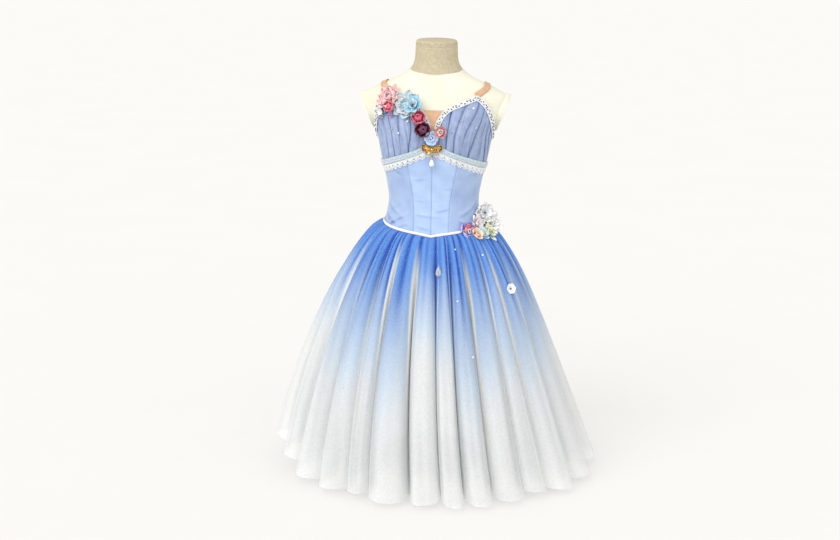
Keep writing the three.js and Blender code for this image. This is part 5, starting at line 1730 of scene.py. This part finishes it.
# %% Trims of the skirt
CRYSTAL_HALF, CRYSTAL_FOOT, CRYSTAL_TIP = (8.5, 14, 4.5), 1.15, 0.35
BLOSSOM_RINGS = [
    # petals, length, width, tilt, turn of the ring, cup
    (6, 14, 14, 0.1, 0.0, 0.1), (5, 8, 7, 0.45, 0.5, 0.15),
]


def node_frame(node_name):
    """The middle of a trim and the way the skirt faces there."""
    low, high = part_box(node_name)
    centre = (low + high) / 2
    flat = Vector((centre.x, centre.y, 0)).normalized()
    outward = Vector((flat.x * 0.6, flat.y * 0.6 - 0.4, 0.3)).normalized()
    right = Vector((0, 0, 1)).cross(outward).normalized()
    basis = Matrix((right, outward.cross(right), outward)).transposed().to_4x4()
    return Matrix.Translation(centre) @ basis


work = bmesh.new()
drop_shape = bmesh.ops.create_uvsphere(work, u_segments=12, v_segments=8, radius=1)["verts"]
bmesh.ops.scale(work, verts=drop_shape, vec=Vector(CRYSTAL_HALF) * MM)
for vert in drop_shape:
    vert.co.x *= mix(CRYSTAL_FOOT, CRYSTAL_TIP, clamp((vert.co.y / MM + 12) / 24))
bmesh.ops.transform(work, matrix=node_frame("skirt_crystal_drop"), verts=work.verts)
crystal = finished("skirt_crystal_drop_cut", work, CUT_CRYSTAL, smooth=False)
dress_piece(crystal, "crystal", "skirt_crystal_drop")

work = bmesh.new()
for count, length, width, tilt, shift, hollow in BLOSSOM_RINGS:
    for k in range(count):
        add_petal(work, length, width, tilt, 2 * math.pi * (k + shift) / count, curl=0.2,
                  cup=hollow)
bead(work, (0, 0, 2.4 * MM), 1.9 * MM, 1, subdivisions=2)
bmesh.ops.transform(work, matrix=node_frame("skirt_white_blossom"), verts=work.verts)
blossom = finished("skirt_blossom_white", work, [WHITE_ORGANZA, JET_BEAD])
dress_piece(thicken(blossom, PETAL_THICK, 0.0), "white_petals", "skirt_white_blossom")

# %% Small pearls sewn to the outer ply
SKIRT_BEADS = [
    # share of the way round, share of the way down, radius, material
    (0.3125, 0.045, 2.3, 0), (0.389, 0.08, 2.7, 0), (0.304, 0.23, 2.4, 0), (0.318, 0.44, 2.6, 0),
    (0.109, 0.6, 1.5, 1), (0.045, 0.7, 1.4, 1), (0.34, 0.56, 1.5, 1),
]
work = bmesh.new()
for share, down, radius, slot in SKIRT_BEADS:
    spot = skirt_point(share, down, PLIES[0])
    away = Vector((spot.x, spot.y, 0)).normalized()
    bead(work, (spot + away * radius * 0.6) * MM, radius * MM, slot, subdivisions=2)
skirt_beads = finished("skirt_beads", work, [PEARL_LACQUER, CHAMPAGNE_PEARL])
dress_piece(skirt_beads, "pearl")

# %% [markdown]
# The studio is plain: a white floor lit from below, as a product table is, so that hardly a shadow
# shows on it, a bright even room, one large soft light from the front left and a weak one from the
# right.

# %% The floor
FLOOR_HALF_SIZE = 70
FLOOR_GLOW, SKY_STRENGTH = 0.48, 0.75
# A frosted sheet over lamps: half of its white is its own light
FLOOR_SHEET = plain("frosted_floor_sheet", "#b4b3b1", "#b3b2b0", spot_mm=400, roughness=1.0,
                    specular=0.0)
floor_shader = FLOOR_SHEET.node_tree.nodes["Principled BSDF"]
floor_shader.inputs["Emission Color"].default_value = colour("#fffefb")
floor_shader.inputs["Emission Strength"].default_value = FLOOR_GLOW
work = bmesh.new()
bmesh.ops.create_grid(work, x_segments=1, y_segments=1, size=FLOOR_HALF_SIZE)
floor = finished("studio_floor", work, FLOOR_SHEET)

# %% The light
world = bpy.data.worlds.new("bright_studio")
bpy.context.scene.world = world
world.use_nodes = True
sky = world.node_tree.nodes["Background"]
sky.inputs["Color"].default_value = colour("#fffefc")
sky.inputs["Strength"].default_value = SKY_STRENGTH


def soft_sun(name, place, strength, softness):
    """A very large soft light, far off, that shines from a place towards the dress."""
    data = bpy.data.lights.new(name, "SUN")
    data.energy = strength
    data.angle = math.radians(softness)
    lamp = bpy.data.objects.new(name, data)
    bpy.context.scene.collection.objects.link(lamp)
    lamp.rotation_euler = (-Vector(place)).to_track_quat("-Z", "Y").to_euler()
    print(f"{name} light: strength {strength}, {softness} degrees wide")


soft_sun("key", (-1.6, -2.6, 2.4), 1.5, 50)
soft_sun("fill", (2.4, -2.4, 1.2), 0.4, 70)

# %% [markdown]
# The camera stands 3.6 m away and 1.34 m up, and looks down at the skirt. Its place, turn and lens
# were found by fitting the ellipse of the hem and the neck of the form to the photograph.

# %% The camera
FOCAL_PX, SENSOR_MM, PHOTO_WIDTH_PX = 1440, 36, 840
CAMERA_DISTANCE, CAMERA_HEIGHT = 3.6, 1.343
CAMERA_AZIMUTH, CAMERA_PITCH, CAMERA_ROLL = 4.0, 13.1, 1.0
SIDE_STEP = -0.032

azimuth, pitch = math.radians(CAMERA_AZIMUTH), math.radians(CAMERA_PITCH)
look = Vector((-math.sin(azimuth) * math.cos(pitch), math.cos(azimuth) * math.cos(pitch),
               -math.sin(pitch)))
lens = bpy.data.cameras.new("camera")
lens.sensor_width = SENSOR_MM
lens.lens = FOCAL_PX / PHOTO_WIDTH_PX * SENSOR_MM
camera = bpy.data.objects.new("camera", lens)
bpy.context.scene.collection.objects.link(camera)
camera.location = (CAMERA_DISTANCE * math.sin(azimuth) + SIDE_STEP * math.cos(azimuth),
                   -CAMERA_DISTANCE * math.cos(azimuth) + SIDE_STEP * math.sin(azimuth),
                   CAMERA_HEIGHT)
turned = look.to_track_quat("-Z", "Y") @ Quaternion((0, 0, 1), math.radians(CAMERA_ROLL))
camera.rotation_mode = "QUATERNION"
camera.rotation_quaternion = turned
bpy.context.scene.camera = camera
bpy.context.scene.view_settings.view_transform = "Standard"
# Light has to pass many plies of tulle, front and back
bpy.context.scene.cycles.transparent_max_bounces = 40
print(f"lens {lens.lens:.1f} mm")
